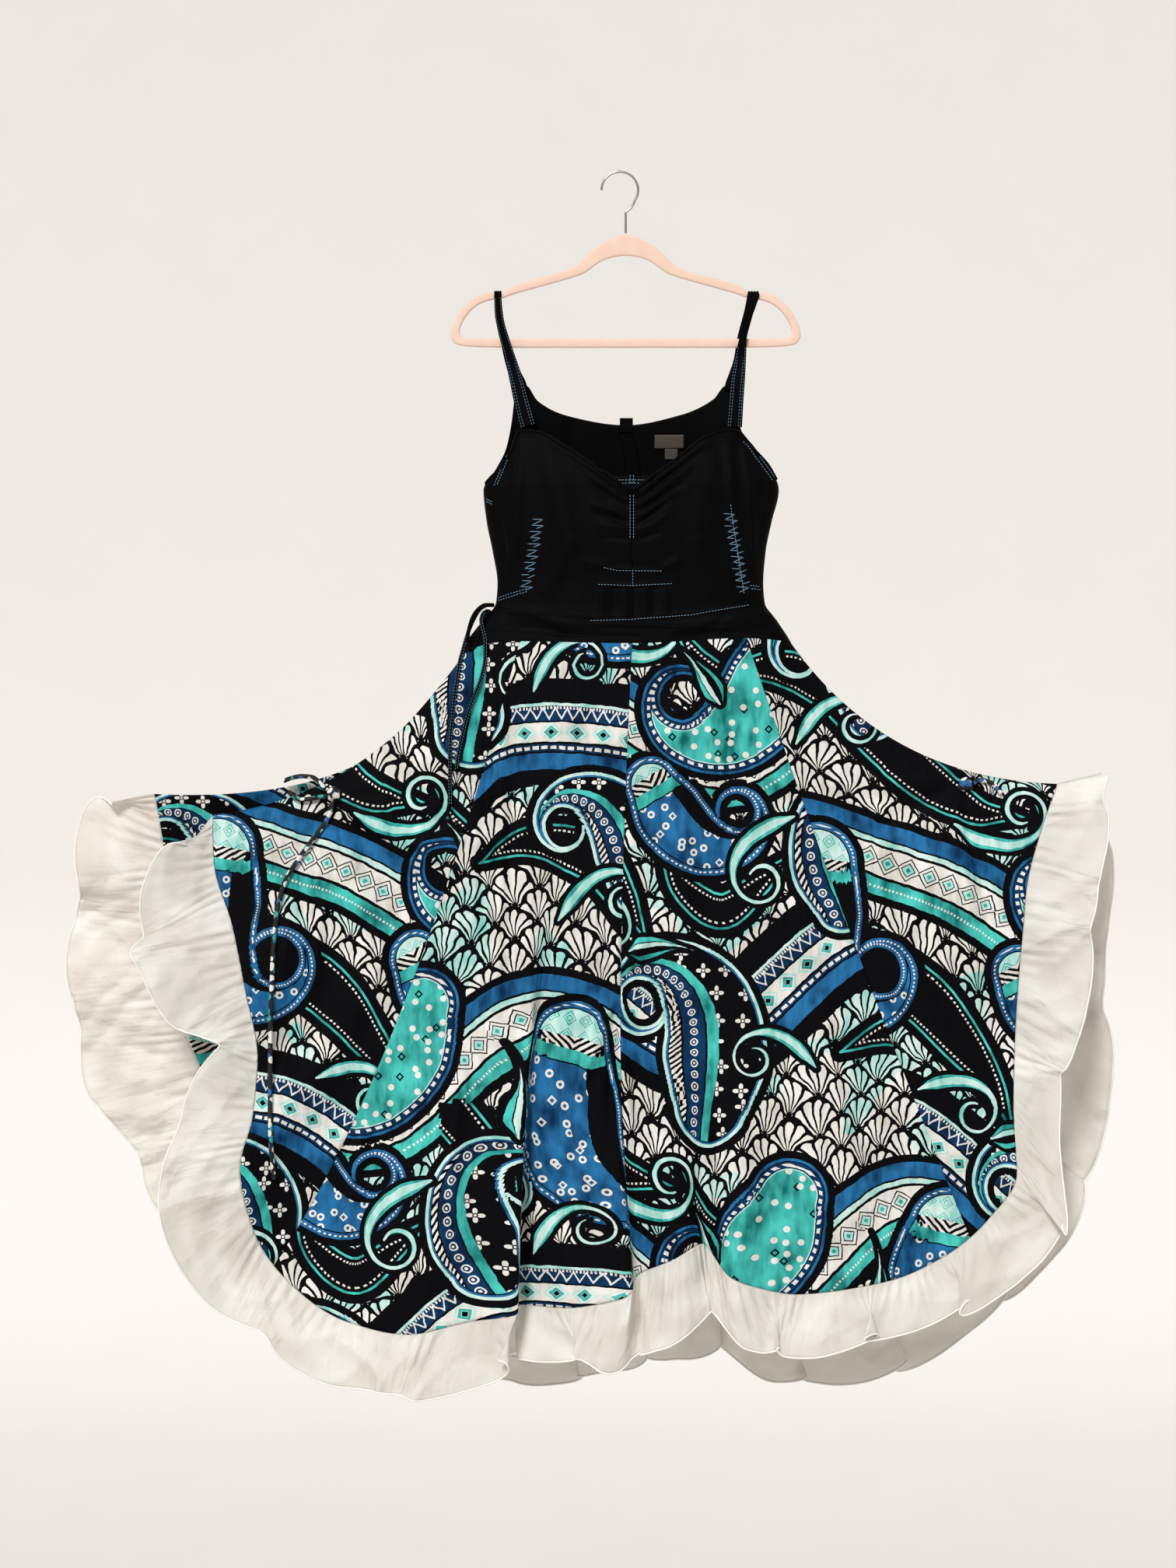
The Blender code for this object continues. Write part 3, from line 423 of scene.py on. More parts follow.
@dataclass(frozen=True)
class SkirtFace:
    """One face of the spread skirt, with its four gores."""

    face: Face
    ribs: tuple
    folds: tuple
    top: tuple
    hem_depth: float
    creases: tuple
    gathers: tuple
    depth: float = 1.9
    columns: int = 320
    rows: int = 116
    gores: tuple[str, ...] = ("side_left", "left", "right", "side_right")

    def rib(self, name: str, place: Array) -> Array:
        """A rib size at places from 0 to 1 across the fan."""
        values = column(self.ribs, RIB_COLUMNS, name)
        return read_curve(np.linspace(0.0, 1.0, len(values)), values, place)

    def lift(self, place: Array, down: Array) -> tuple[Array, Array]:
        """Height out of the skirt and shift to the right made by its standing folds.

        Args:
            place: places from 0 to 1 across the fan.
            down: places from 0 to 1 down the ribs.

        Returns:
            Both in metres.
        """
        height = np.zeros(np.broadcast(place, down).shape)
        shift = np.zeros_like(height)
        for centre, width, tall, lean, start in self.folds:
            grow = ramp((down - start) / (1.0 - start))
            bump = tall * MM * grow * np.exp(-(((place - centre) / width) ** 2))
            height += bump
            shift += bump * lean
        return height, shift

    def surface(self, place: Array, down: Array) -> tuple[Array, Array]:
        """Middle of the skirt's cloth.

        Args:
            place: places from 0 to 1 across the fan.
            down: places from 0 to 1 down the ribs.

        Returns:
            Points in metres, and the same places on the unfolded print in millimetres.
        """
        place, down = np.broadcast_arrays(place, down)
        turn = np.clip(self.rib("turn", place), 0.0, 180.0)
        start = FORM.point(turn, edge_at(self.top, turn), self.face)
        first = (1 - down) * (1 - 2 * down)
        second = 4 * down * (1 - down)
        third = down * (2 * down - 1)
        mid_x, mid_z, hem_x, hem_z = [self.rib(name, place) * MM for name in RIB_COLUMNS[1:5]]
        x = first * start[..., 0] + second * mid_x + third * hem_x
        z = first * start[..., 2] + second * mid_z + third * hem_z
        swell = np.sqrt(np.clip(np.sin(np.pi * place), 0.0, None))
        height, shift = self.lift(place, down)
        height = height + self.depth * crease_height(x / MM, z / MM, self.creases)
        for gx, gz, reach, tall in self.gathers:
            away = np.hypot(x / MM - gx, z / MM - gz) / reach
            angle = np.arctan2(x / MM - gx, z / MM - gz)
            spokes = np.cos(9 * angle + 1.3 * np.sin(2 * angle))
            height = height + tall * MM * spokes * away * np.exp(0.5 - away**2)
        edge = ramp(down / 0.06)
        deep = np.abs(start[..., 1]) * (1 - ramp(down)) + swell * self.hem_depth * ramp(down)
        y = self.face.outward * (SIDE_CLEAR + deep + swell * height * edge)
        points = np.stack((x + shift * swell, y, z), axis=-1)
        plane = np.stack((x, z), axis=-1) / MM
        return points, plane

    def unfold(self, points: Array, plane: Array) -> Array:
        """Places on the print, moved apart by what the folds take up across the cloth.

        Args:
            points: a gore's grid in metres.
            plane: its places as seen, in millimetres.

        Returns:
            The places on the print.
        """
        step = np.diff(points, axis=1) / MM
        seen = np.hypot(step[..., 0], step[..., 2])
        taken = np.linalg.norm(step, axis=2) - seen
        way = step[..., ::2] / np.maximum(seen, 1e-6)[..., None]
        moved = np.cumsum(way * taken[..., None], axis=1)
        moved = np.concatenate((np.zeros_like(moved[:, :1]), moved), axis=1)
        middle = moved.shape[1] // 2
        return plane + moved - moved[:, middle : middle + 1]

    def build(self, cloth: Material, design: "PrintLayout") -> None:
        """Build the four gores, each with its own cut of the print.

        Args:
            cloth: the printed cotton.
            design: where the print's strokes lie.
        """
        places = np.linspace(0.0, 1.0, self.columns + 1)
        downs = np.linspace(0.0, 1.0, self.rows + 1) ** 0.9
        points, plane = self.surface(places[None, :], downs[:, None])
        step = self.columns // len(self.gores)
        for number, gore in enumerate(self.gores):
            part = np.s_[:, number * step : (number + 1) * step + 1]
            name = f"skirt_{self.face.value}_{gore}"
            sheet = lay_cloth("cloth_" + name, points[part], self.face)
            shift = design.cut(self.face, number)
            flat = self.unfold(points[part], plane[part]) + shift
            design.dress(sheet, mesh_order(flat, self.face).reshape(-1, 2))
            finish_sheet(sheet, COTTON_WALL, "printed_cotton", cloth, name)


def crumple(across: Array, deep: Array, phase: float) -> Array:
    """Crisp shallow creases of stiff voile, in millimetres.

    Args:
        across: places along the seam in millimetres.
        deep: distances from the seam in millimetres.
        phase: start of the pattern.

    Returns:
        Heights out of the cloth.
    """
    total = np.zeros(np.broadcast(across, deep).shape)
    for period, slant, start, tall in VOILE_CREASES:
        warp = 0.9 * np.sin(across / 57 + start + phase) + 0.8 * np.sin(deep / 37 + across / 91 + 2 * start)
        turn = (across + slant * deep) / period * np.pi + start + warp
        fade = 0.6 + 0.4 * np.sin(across / 130 + 3 * start)
        total += tall * fade * (1 - np.abs(np.sin(turn)))
    return total


@dataclass(frozen=True)
class Ruffle:
    """Gathered voile ruffle along the hem of one face."""

    skirt: SkirtFace
    waves: int
    phase: float = 0.6
    wave_height: float = 17 * MM
    lift: float = 5 * MM
    sway: float = 29 * MM
    uneven_hem: float = 7 * MM
    crimp: float = 2.6 * MM
    samples: int = 32
    rows: int = 26
    hem_roll: float = 1.2 * MM

    def surface(self, place: Array, reach: Array) -> tuple[Array, Array]:
        """Middle of the voile from its seam, at reach 0, to its free edge at 1.

        Args:
            place: places from 0 to 1 along the seam.
            reach: places from 0 to 1 down the voile.

        Returns:
            Points in metres, and places along and off the seam in millimetres.
        """
        face = self.skirt.face
        start, _ = self.skirt.surface(place, np.ones_like(place))
        edge_x, edge_z = self.skirt.rib("edge_x", place) * MM, self.skirt.rib("edge_z", place) * MM
        edge = np.stack((edge_x, start[..., 1], edge_z), axis=-1)
        away = unit(edge - start)
        spot = start + away * 2 * SEAM_GAP + (edge - start) * reach[..., None]
        uneven = 0.75 + 0.25 * np.sin(7.3 * place * np.pi + self.phase)
        turn = 2 * np.pi * (self.waves * place + 0.35 * np.sin(9 * place))
        broad = turn / 2 + 0.9 * np.sin(3.3 * place * np.pi + 1.0)
        tilted = broad + 0.5 * np.sin(broad + 1.9 * np.sin(2.1 * place * np.pi))
        wave = (1 - np.cos(tilted)) / 2
        small = (1 - np.cos(turn)) / 2
        grow = ramp(reach) * 0.55 + reach * 0.45
        along_seam = np.linalg.norm(np.diff(start[:1], axis=1), axis=2).cumsum(axis=1)
        across = np.insert(along_seam, 0, 0.0, axis=1) / MM
        deep = reach * np.linalg.norm(edge - start, axis=2) / MM
        rumple = crumple(across, deep, self.phase) * MM * (0.25 + 0.75 * ramp(reach * 2.5))
        height = self.lift + self.wave_height * uneven * (wave * 0.9 + small * 0.22)
        pucker = np.sin(5.0 * turn + 1.6 * np.sin(0.63 * turn)) * (1 + 0.7 * np.sin(1.27 * turn))
        gather = self.crimp * pucker * reach**0.3 * (1 - reach) ** 2.6
        spot[..., 1] += face.outward * (grow * height + gather + rumple)
        along = unit(np.gradient(start, axis=1))
        strength = 0.7 + 0.3 * np.sin(5.1 * place * np.pi + 2.0)
        sway = (self.sway * np.sin(tilted + 1.2) + 4 * MM * np.sin(turn)) * strength * grow
        drop = self.uneven_hem * np.cos(tilted + 1.2) * reach**2
        flat = np.array((1.0, 0.0, 1.0))
        points = spot + (along * sway[..., None] + away * drop[..., None]) * flat
        return points, np.stack(np.broadcast_arrays(across, deep), axis=-1)

    def build(self, cloth: Material, thread: Material) -> None:
        """Build the ruffle and the narrow rolled hem along its free edge.

        Args:
            cloth: the voile.
            thread: the material of the hem.
        """
        name = f"ruffle_{self.skirt.face.value}"
        places = np.linspace(0.0, 1.0, self.waves * self.samples + 1)
        reaches = np.linspace(0.0, 1.0, self.rows + 1) ** 1.15
        place, reach = np.meshgrid(places, reaches)
        points, plane = self.surface(place, reach)
        sheet = lay_cloth("cloth_" + name, points, self.skirt.face)
        write_plane(sheet.data, VOILE_PLANE, mesh_order(plane, self.skirt.face).reshape(-1, 2))
        finish_sheet(sheet, VOILE_WALL, "voile", cloth, name)
        roll = sweep_tube("rolled_hem_" + self.skirt.face.value, points[-1], self.hem_roll, 6)
        settle(roll, "voile", thread)


def sweep_tube(name: str, route: Array, radius: float, sides: int) -> Object:
    """Thin round tube along a route, with closed ends, as a mesh.

    Args:
        name: the piece's name.
        route: points along its middle, in metres.
        radius: half of its thickness.
        sides: faces round it.

    Returns:
        The tube.
    """
    deselect()
    bpy.ops.mesh.primitive_cylinder_add(vertices=sides, radius=radius, depth=1.0, end_fill_type="NGON")
    along = unit(np.gradient(route, axis=0))
    side = unit(np.cross(along, np.array((0.0, 1.0, 0.0))))[:, None]
    other = np.cross(along[:, None], side)
    angle = np.arange(sides)[:, None] * 2 * np.pi / sides
    rings = route[:, None] + radius * (np.cos(angle) * side + np.sin(angle) * other)
    here = np.arange(sides)
    after = (here + 1) % sides
    base = np.arange(len(route) - 1)[:, None] * sides
    walls = np.stack((base + here, base + after, base + sides + after, base + sides + here), axis=-1)
    ends = [here[::-1].tolist(), (here + (len(route) - 1) * sides).tolist()]
    tube = reshape(name, rings.reshape(-1, 3), walls.reshape(-1, 4).tolist() + ends)
    face_out(tube)
    return tube


def reshape(name: str, vertices: Array, faces: list) -> Object:
    """Name the primitive just added and give it a new smooth mesh.

    Args:
        name: the piece's name.
        vertices: its points in metres.
        faces: each face's vertices by number.

    Returns:
        The piece.
    """
    piece = bpy.context.object
    piece.name = piece.data.name = name
    piece.data.clear_geometry()
    piece.data.from_pydata(vertices.tolist(), [], faces)
    piece.data.shade_smooth()
    return piece


def face_out(item: Object) -> None:
    """Turn a closed mesh so that its faces point out.

    Args:
        item: the closed mesh.
    """
    deselect()
    item.select_set(True)
    bpy.context.view_layer.objects.active = item
    bpy.ops.object.mode_set(mode="EDIT")
    bpy.ops.mesh.select_all(action="SELECT")
    bpy.ops.mesh.normals_make_consistent(inside=False)
    bpy.ops.object.mode_set(mode="OBJECT")


class Motif(Enum):
    """What a stroke of the print shows between its black outlines."""

    RIVER = 1
    LINKS = 2
    SWIRL = 3
    CURL = 4
    NIGHT = 5
    SEA = 6
    SKY = 7
    LEAF = 8


# The printed repeat. Rivers: motif, layer, height, two swings with their phases, half width
REPEAT = (640.0, 700.0)
RIVERS = (
    (Motif.RIVER, 0, 216, 78, 0.5, 16, 2.4, 62),
    (Motif.LINKS, 0, 556, 74, 0.3, 18, 1.2, 49),
)
# Swooping bands: motif, layer, and rows of x, z and half width
SWOOPS = (
    (Motif.SWIRL, 0, ((20, 432, 6), (90, 462, 26), (170, 466, 38), (250, 425, 40),
                      (310, 360, 32), (352, 300, 18), (375, 246, 5))),
    (Motif.SWIRL, 0, ((-20, 112, 6), (60, 140, 26), (140, 120, 38), (205, 62, 42),
                      (262, 4, 36), (330, -40, 24), (396, -52, 5))),
    (Motif.SWIRL, 0, ((566, 366, 5), (520, 326, 20), (470, 290, 28), (420, 322, 22),
                      (390, 376, 5))),
    (Motif.SWIRL, 0, ((404, 668, 5), (446, 606, 20), (500, 560, 32), (566, 520, 36),
                      (622, 458, 30), (642, 392, 18), (640, 340, 5))),
)
# Paisleys, curls and leaves: motif, layer, head's x and z, length, first heading and whole
# turn in degrees, and half width
COMMAS = (
    (Motif.SKY, 1, 122, 588, 440, 258, 400, 74),
    (Motif.NIGHT, 1, 452, 44, 430, 80, 400, 70),
    (Motif.SEA, 1, 556, 632, 420, 250, -400, 66),
    (Motif.NIGHT, 1, 196, 84, 330, 100, 380, 52),
    (Motif.NIGHT, 1, 626, 300, 330, 112, -390, 52),
    (Motif.SKY, 1, 380, 452, 330, 300, 420, 50),
    (Motif.CURL, 2, 566, 412, 270, 200, 420, 12),
    (Motif.CURL, 2, 96, 40, 250, 60, -430, 11),
    (Motif.CURL, 2, 300, 640, 260, 330, 420, 12),
    (Motif.CURL, 2, 590, 92, 230, 130, 430, 10),
    (Motif.CURL, 2, 250, 300, 230, 20, -410, 11),
    (Motif.CURL, 2, 60, 330, 220, 70, -430, 10),
    (Motif.LEAF, 2, 24, 470, 120, 80, 40, 20),
    (Motif.LEAF, 2, 350, 240, 110, 10, -50, 18),
    (Motif.LEAF, 2, 470, 556, 110, 120, 40, 17),
)
# Layers of the print from the bottom up, each with the width of the black line outside its strokes
LAYERS = (("print_low", 6.4), ("print_mid", 6.4), ("print_high", 3.0))

# Names of the fields that the cloth's corners hold: the place on the print and on the voile, and
# what a layer's name ends with for its motif and half width
PRINT_PLANE = "print_plane"
VOILE_PLANE = "voile_plane"
KIND = "_kind"


@dataclass(frozen=True)
class Stroke:
    """Middle line of one stroke of the print, with its half width along it."""

    motif: Motif
    layer: int
    points: Array
    widths: Array
    along: Array

    @classmethod
    def from_rows(cls, motif: Motif, layer: int, rows: tuple | Array, step: float = 7.0) -> "Stroke":
        """Make a stroke from its rows of x, z and half width, read on a smooth curve.

        Args:
            motif: what it shows.
            layer: its layer's number.
            rows: its table in millimetres.
            step: distance between the points read.

        Returns:
            The stroke.
        """
        table = np.array(rows, dtype=float)
        places = distances(table[:, :2])
        read = read_rows(places, table, np.linspace(0.0, places[-1], max(8, int(places[-1] / step))))
        return cls(motif, layer, read[:, :2], read[:, 2], distances(read[:, :2]))

    @classmethod
    def from_river(cls, motif: Motif, layer: int, *sizes: float) -> "Stroke":
        """Make a band that waves across the whole repeat.

        Args:
            motif: what it shows.
            layer: its layer's number.
            sizes: height, two swings with their phases, and half width.

        Returns:
            The band.
        """
        height, swing, phase, ripple, ripple_phase, width = sizes
        x = np.linspace(0.0, REPEAT[0], 97)
        turn = 2 * np.pi * x / REPEAT[0]
        z = height + swing * np.sin(turn + phase) + ripple * np.sin(2 * turn + ripple_phase)
        rows = np.stack((x, z, np.full_like(x, width)), axis=-1)
        return cls.from_rows(motif, layer, rows)

    @classmethod
    def from_comma(cls, motif: Motif, layer: int, *sizes: float) -> "Stroke":
        """Make a paisley or a curl, whose middle line turns faster towards its thin end.

        Args:
            motif: what it shows.
            layer: its layer's number.
            sizes: head's x and z, length, first heading, whole turn and half width.

        Returns:
            The stroke.
        """
        x, z, length, heading, turn, width = sizes
        t = np.linspace(0.0, 1.0, 80)
        way = np.radians(heading + turn * t**2.1)
        step = length / (len(t) - 1)
        rise = np.stack((np.cos(way), np.sin(way)), axis=-1) * step
        points = np.array((x, z)) + np.concatenate((np.zeros((1, 2)), np.cumsum(rise[:-1], axis=0)))
        slim = 0.35 if motif in (Motif.CURL, Motif.LEAF) else 0.76
        end = 0.5 if motif is Motif.CURL else 0.12
        shape = (slim, 1.0, 0.88, 0.5, 0.16 + end / 2, end, end * 0.7)
        taper = read_curve(np.array((0, 0.14, 0.3, 0.48, 0.66, 0.86, 1.0)), np.array(shape), t)
        rows = np.insert(points, 2, width * taper, axis=1)
        return cls.from_rows(motif, layer, rows, 4.0)


@dataclass(frozen=True)
class PrintLayout:
    """Where the strokes of the repeated print lie on the cloth."""

    strokes: tuple[Stroke, ...]
    margin: float = 9.0

    @classmethod
    def drawn(cls) -> "PrintLayout":
        """Lay out this dress's print.

        Returns:
            The layout.
        """
        paths = [Stroke.from_river(*row) for row in RIVERS]
        paths += [Stroke.from_rows(*row) for row in SWOOPS]
        paths += [Stroke.from_comma(*row) for row in COMMAS]
        return cls(tuple(paths))

    def cut(self, face: Face, number: int) -> Array:
        """Shift of the print on one gore, since each gore is cut from its own place."""
        side = 0 if face is Face.FRONT else 4
        return np.array((171.0 * (number + side), 239.0 * (number + side) + 60.0))

    def copies(self, stroke: Stroke, low: Array, high: Array) -> list[Array]:
        """Shifts of a repeated stroke that reach a box of the cloth.

        Args:
            stroke: the stroke.
            low: the box's lowest corner on the print.
            high: its highest corner.

        Returns:
            The shifts in millimetres.
        """
        size = np.array(REPEAT)
        reach = stroke.widths.max() + self.margin
        first = np.ceil((low - stroke.points.max(axis=0) - reach) / size).astype(int)
        last = np.floor((high - stroke.points.min(axis=0) + reach) / size).astype(int)
        return [
            size * (i, j)
            for i in range(first[0], last[0] + 1)
            for j in range(first[1], last[1] + 1)
        ]

    def dress(self, sheet: Object, plane: Array) -> None:
        """Write the print's coordinates on a sheet.

        Args:
            sheet: the cloth, still one layer of faces.
            plane: the place of each vertex on the print, in millimetres.
        """
        mesh = sheet.data
        corners = write_plane(mesh, PRINT_PLANE, plane)
        for layer, (name, _) in enumerate(LAYERS):
            place, kind = self.draw_layer(layer, corners)
            write_field(mesh, name, place)
            write_field(mesh, name + KIND, kind)

    def draw_layer(self, layer: int, corners: Array) -> tuple[Array, Array]:
        """Work out each face's nearest stroke of a layer, and its corners' places on it.

        Args:
            layer: the layer's number.
            corners: each face's four corners on the print.

        Returns:
            Along, across and past the end at each corner, and motif and half width there.
        """
        middle = corners.mean(axis=1)
        place = np.zeros(corners.shape[:2] + (3,))
        place[..., 1] = 99.0
        kind = np.zeros_like(place)
        deepest = np.full(len(middle), -self.margin)
        low, high = middle.min(axis=0), middle.max(axis=0)
        for stroke in self.strokes:
            if stroke.layer != layer:
                continue
            reach = stroke.widths.max() + self.margin
            for shift in self.copies(stroke, low, high):
                points = stroke.points + shift
                box = (middle > points.min(axis=0) - reach) & (middle < points.max(axis=0) + reach)
                near = np.flatnonzero(box.all(axis=1))
                if not len(near):
                    continue
                off = np.linalg.norm(middle[near, None] - points[None], axis=2) - stroke.widths
                nearest = off.argmin(axis=1)
                depth = -off.min(axis=1)
                better = depth > deepest[near]
                faces, nearest = near[better], nearest[better]
                deepest[faces] = depth[better]
                place[faces], width = project(corners[faces], stroke, points, nearest)
                kind[faces, :, 0] = stroke.motif.value
                kind[faces, :, 1] = width
        return place, kind


def project(
    corners: Array, stroke: Stroke, points: Array, nearest: Array
) -> tuple[Array, Array]:
    """Place corners on the stretch of a stroke beside their face.

    Args:
        corners: corners of the faces, four to a face.
        stroke: the stroke.
        points: its middle line where this copy of it lies.
        nearest: the point of the line that is nearest to each face.

    Returns:
        Along, across and past the end of each corner, and the half width there.
    """
    best = np.full(corners.shape[:2], np.inf)
    place = np.zeros(corners.shape[:2] + (3,))
    width = np.zeros(corners.shape[:2])
    last = len(points) - 2
    for step in range(-3, 3):
        index = np.clip(nearest + step, 0, last)
        start = points[index][:, None]
        ahead = points[index + 1][:, None] - start
        long = np.linalg.norm(ahead, axis=2)
        ahead = ahead / long[..., None]
        away = corners - start
        forward = (away * ahead).sum(axis=2)
        across = ahead[..., 0] * away[..., 1] - ahead[..., 1] * away[..., 0]
        held = np.clip(forward, 0.0, long)
        off = np.hypot(forward - held, across)
        closer = off < best
        best = np.where(closer, off, best)
        share = held / long
        half = stroke.widths[index][:, None] * (1 - share) + stroke.widths[index + 1][:, None] * share
        inner = (index[:, None] > 0) & (index[:, None] < last)
        along = stroke.along[index][:, None] + np.where(inner, held, forward)
        width = np.where(closer, half, width)
        now = np.stack((along, across, forward - held), axis=-1)
        place = np.where(closer[..., None], now, place)
    return place, width


def write_field(mesh: Mesh, name: str, values: Array) -> None:
    """Write three numbers to each face corner of a mesh."""
    field = mesh.attributes.new(name, "FLOAT_VECTOR", "CORNER")
    field.data.foreach_set("vector", values.reshape(-1).astype(np.float32))


def write_plane(mesh: Mesh, name: str, plane: Array) -> Array:
    """Write the flat place of each vertex to the corners of a mesh of four-sided faces.

    Args:
        mesh: the mesh.
        name: the field's name.
        plane: two numbers for each vertex, in millimetres.

    Returns:
        The places of each face's four corners.
    """
    loops = np.zeros(len(mesh.loops), dtype=np.int32)
    mesh.loops.foreach_get("vertex_index", loops)
    write_field(mesh, name, np.insert(plane[loops], 2, 0.0, axis=1))
    return plane[loops.reshape(-1, 4)]


def linear(code: str) -> tuple[float, ...]:
    """Turn an sRGB hex colour to the linear colour that a shader takes.

    Args:
        code: a hash and six hex digits.

    Returns:
        Red, green, blue and 1.
    """
    parts = [int(code[k : k + 2], 16) / 255 for k in (1, 3, 5)]
    bright = [v / 12.92 if v <= 0.04045 else ((v + 0.055) / 1.055) ** 2.4 for v in parts]
    return (*bright, 1.0)


def feed(node: Node, inputs: dict) -> None:
    """Set a node's inputs, by name or number, to numbers, hex colours, terms or sockets.

    Args:
        node: the node.
        inputs: what feeds each input.
    """
    for name, value in inputs.items():
        value = value.socket if isinstance(value, Term) else value
        if isinstance(value, NodeSocket):
            node.id_data.links.new(value, node.inputs[name])
        else:
            node.inputs[name].default_value = linear(value) if isinstance(value, str) else value


def add_node(tree: NodeTree, kind: str, inputs: dict | None = None, **settings: object) -> Node:
    """Add a node with its settings and what feeds it.

    Args:
        tree: the material's node tree.
        kind: the node's type, without the words that every type starts with.
        inputs: what feeds each input.
        settings: the node's own values.

    Returns:
        The node.
    """
    node = tree.nodes.new("ShaderNode" + kind)
    for name, value in settings.items():
        setattr(node, name, value)
    feed(node, inputs or {})
    return node


class Term:
    """A number in a shader, so that a pattern reads as arithmetic."""

    def __init__(self, socket: NodeSocket) -> None:
        """Hold the socket that gives the number."""
        self.socket = socket

    def work(self, operation: str, *others: "Term | float") -> "Term":
        """Work out a Math operation on this number and others."""
        inputs = dict(enumerate((self, *others)))
        return Term(add_node(self.socket.id_data, "Math", inputs, operation=operation).outputs[0])

    def between(self, low: float, high: float) -> "Term":
        """1 where this number lies between two others."""
        return (self > low) * (self < high)

    def near(self, value: float) -> "Term":
        """1 where this number is nearer to a whole one than to any other."""
        return abs(self - value) < 0.5

    __add__ = partialmethod(work, "ADD")
    __sub__ = partialmethod(work, "SUBTRACT")
    __mul__ = partialmethod(work, "MULTIPLY")
    __truediv__ = partialmethod(work, "DIVIDE")
    __gt__ = partialmethod(work, "GREATER_THAN")
    __lt__ = partialmethod(work, "LESS_THAN")
    __abs__ = partialmethod(work, "ABSOLUTE")
    fract = partialmethod(work, "FRACT")
    floor = partialmethod(work, "FLOOR")
    root = partialmethod(work, "SQRT")
    sine = partialmethod(work, "SINE")


def terms(node: Node) -> list[Term]:
    """Every number that a node gives."""
    return [Term(socket) for socket in node.outputs]


def layers(paint: Paint, *coats: tuple[Term, Paint]) -> Paint:
    """Coats of colour over a first one, each over the ones before where its mask is 1.

    Args:
        paint: the first coat.
        coats: a mask and a colour for each further coat.

    Returns:
        The last coat's colour.
    """
    for mask, colour in coats:
        inputs = {0: mask, 6: paint, 7: colour}
        paint = add_node(mask.socket.id_data, "Mix", inputs, data_type="RGBA").outputs[2]
    return paint


def start_material(name: str, **values: float | str) -> tuple[Material, Node, NodeSocket]:
    """Start a material from the Principled shader.

    Args:
        name: the material's name.
        values: numbers and colours for the shader's own inputs, with spaces as underscores.

    Returns:
        The material, its shader and the place on the piece in metres.
    """
    material = bpy.data.materials.new(name)
    material.use_nodes = True
    shader = material.node_tree.nodes["Principled BSDF"]
    feed(shader, {socket.replace("_", " "): value for socket, value in values.items()})
    return material, shader, add_node(material.node_tree, "TexCoord").outputs["Object"]


def dress_shader(shader: Node, paint: Paint, height: Term, depth: float) -> None:
    """Colour the shader, and roughen it by a height between 0 and 1 that is so many metres deep."""
    bump = add_node(shader.id_data, "Bump", {"Height": height, "Strength": 1.0, "Distance": depth})
    feed(shader, {"Base Color": paint, "Normal": bump.outputs[0]})


def lumps(place: NodeSocket, size: float, detail: float = 2.0, scale: tuple | None = None) -> Term:
    """Noise with lumps of about one size, in the units of the place, which may be stretched first.

    Args:
        place: where the noise is read.
        size: size of a lump.
        detail: how many finer octaves it has.
        scale: how the place is stretched along its axes.

    Returns:
        The noise, from 0 to 1.
    """
    tree = place.id_data
    if scale:
        place = add_node(tree, "Mapping", {"Vector": place, "Scale": scale}).outputs[0]
    inputs = {"Vector": place, "Scale": 1 / size, "Detail": detail}
    return Term(add_node(tree, "TexNoise", inputs).outputs["Fac"])


def shifts(plane: NodeSocket, size: float, reach: float) -> list[Term]:
    """How far soft noise moves a place along and across, up to half the reach.

    Args:
        plane: the place.
        size: size of the noise.
        reach: the whole width of the shift.

    Returns:
        The shifts along and across.
    """
    soft = add_node(plane.id_data, "TexNoise", {"Vector": plane, "Scale": 1 / size, "Detail": 2.0})
    parts = add_node(plane.id_data, "SeparateColor", {0: soft.outputs["Color"]})
    return [(part - 0.5) * reach for part in terms(parts)[:2]]


def weave_height(place: NodeSocket, spacing: float) -> Term:
    """Plain weave: threads along and across in turn, from 0 to 1, as seen from front or back.

    Args:
        place: the place on the piece in metres.
        spacing: two threads and their gaps.

    Returns:
        The height.
    """
    x, _, z = terms(add_node(place.id_data, "SeparateXYZ", {0: place}))
    turn = 2 * math.pi / spacing
    return (x * turn).sine() * (z * turn).sine() * 0.5 + 0.5


@dataclass(frozen=True)
class VelvetFlock:
    """Flocked velvet of the hanger: a matt blush nap that is paler in patches."""

    light: str = "#F8DDCC"
    deep: str = "#F0C8B2"
    sheen: str = "#FFE6DA"
    nap: float = 0.7 * MM
    blotch: float = 22 * MM
    depth: float = 0.12 * MM

    def make(self) -> Material:
        """Make the flock.

        Returns:
            The material.
        """
        material, shader, place = start_material(
            "flocked_velvet_blush", Roughness=0.95, Specular_IOR_Level=0.2, Sheen_Weight=0.55,
            Sheen_Roughness=0.4, Sheen_Tint=self.sheen,
        )
        paint = layers(self.deep, (lumps(place, self.blotch, 3.0), self.light))
        dress_shader(shader, paint, lumps(place, self.nap, 1.0), self.depth)
        return material


@dataclass(frozen=True)
class DrawnWire:
    """Drawn steel wire with a pale champagne plating, faintly marked."""

    bright: str = "#D9CFC0"
    worn: str = "#B8AFA2"
    mark: float = 3 * MM
    smoothest: float = 0.2
    uneven: float = 0.16

    def make(self) -> Material:
        """Make the wire.

        Returns:
            The material.
        """
        material, shader, place = start_material("drawn_steel_wire", Metallic=1.0)
        marks = lumps(place, self.mark, 4.0)
        paint = layers(self.worn, (marks, self.bright))
        feed(shader, {"Base Color": paint, "Roughness": marks * self.uneven + self.smoothest})
        return material


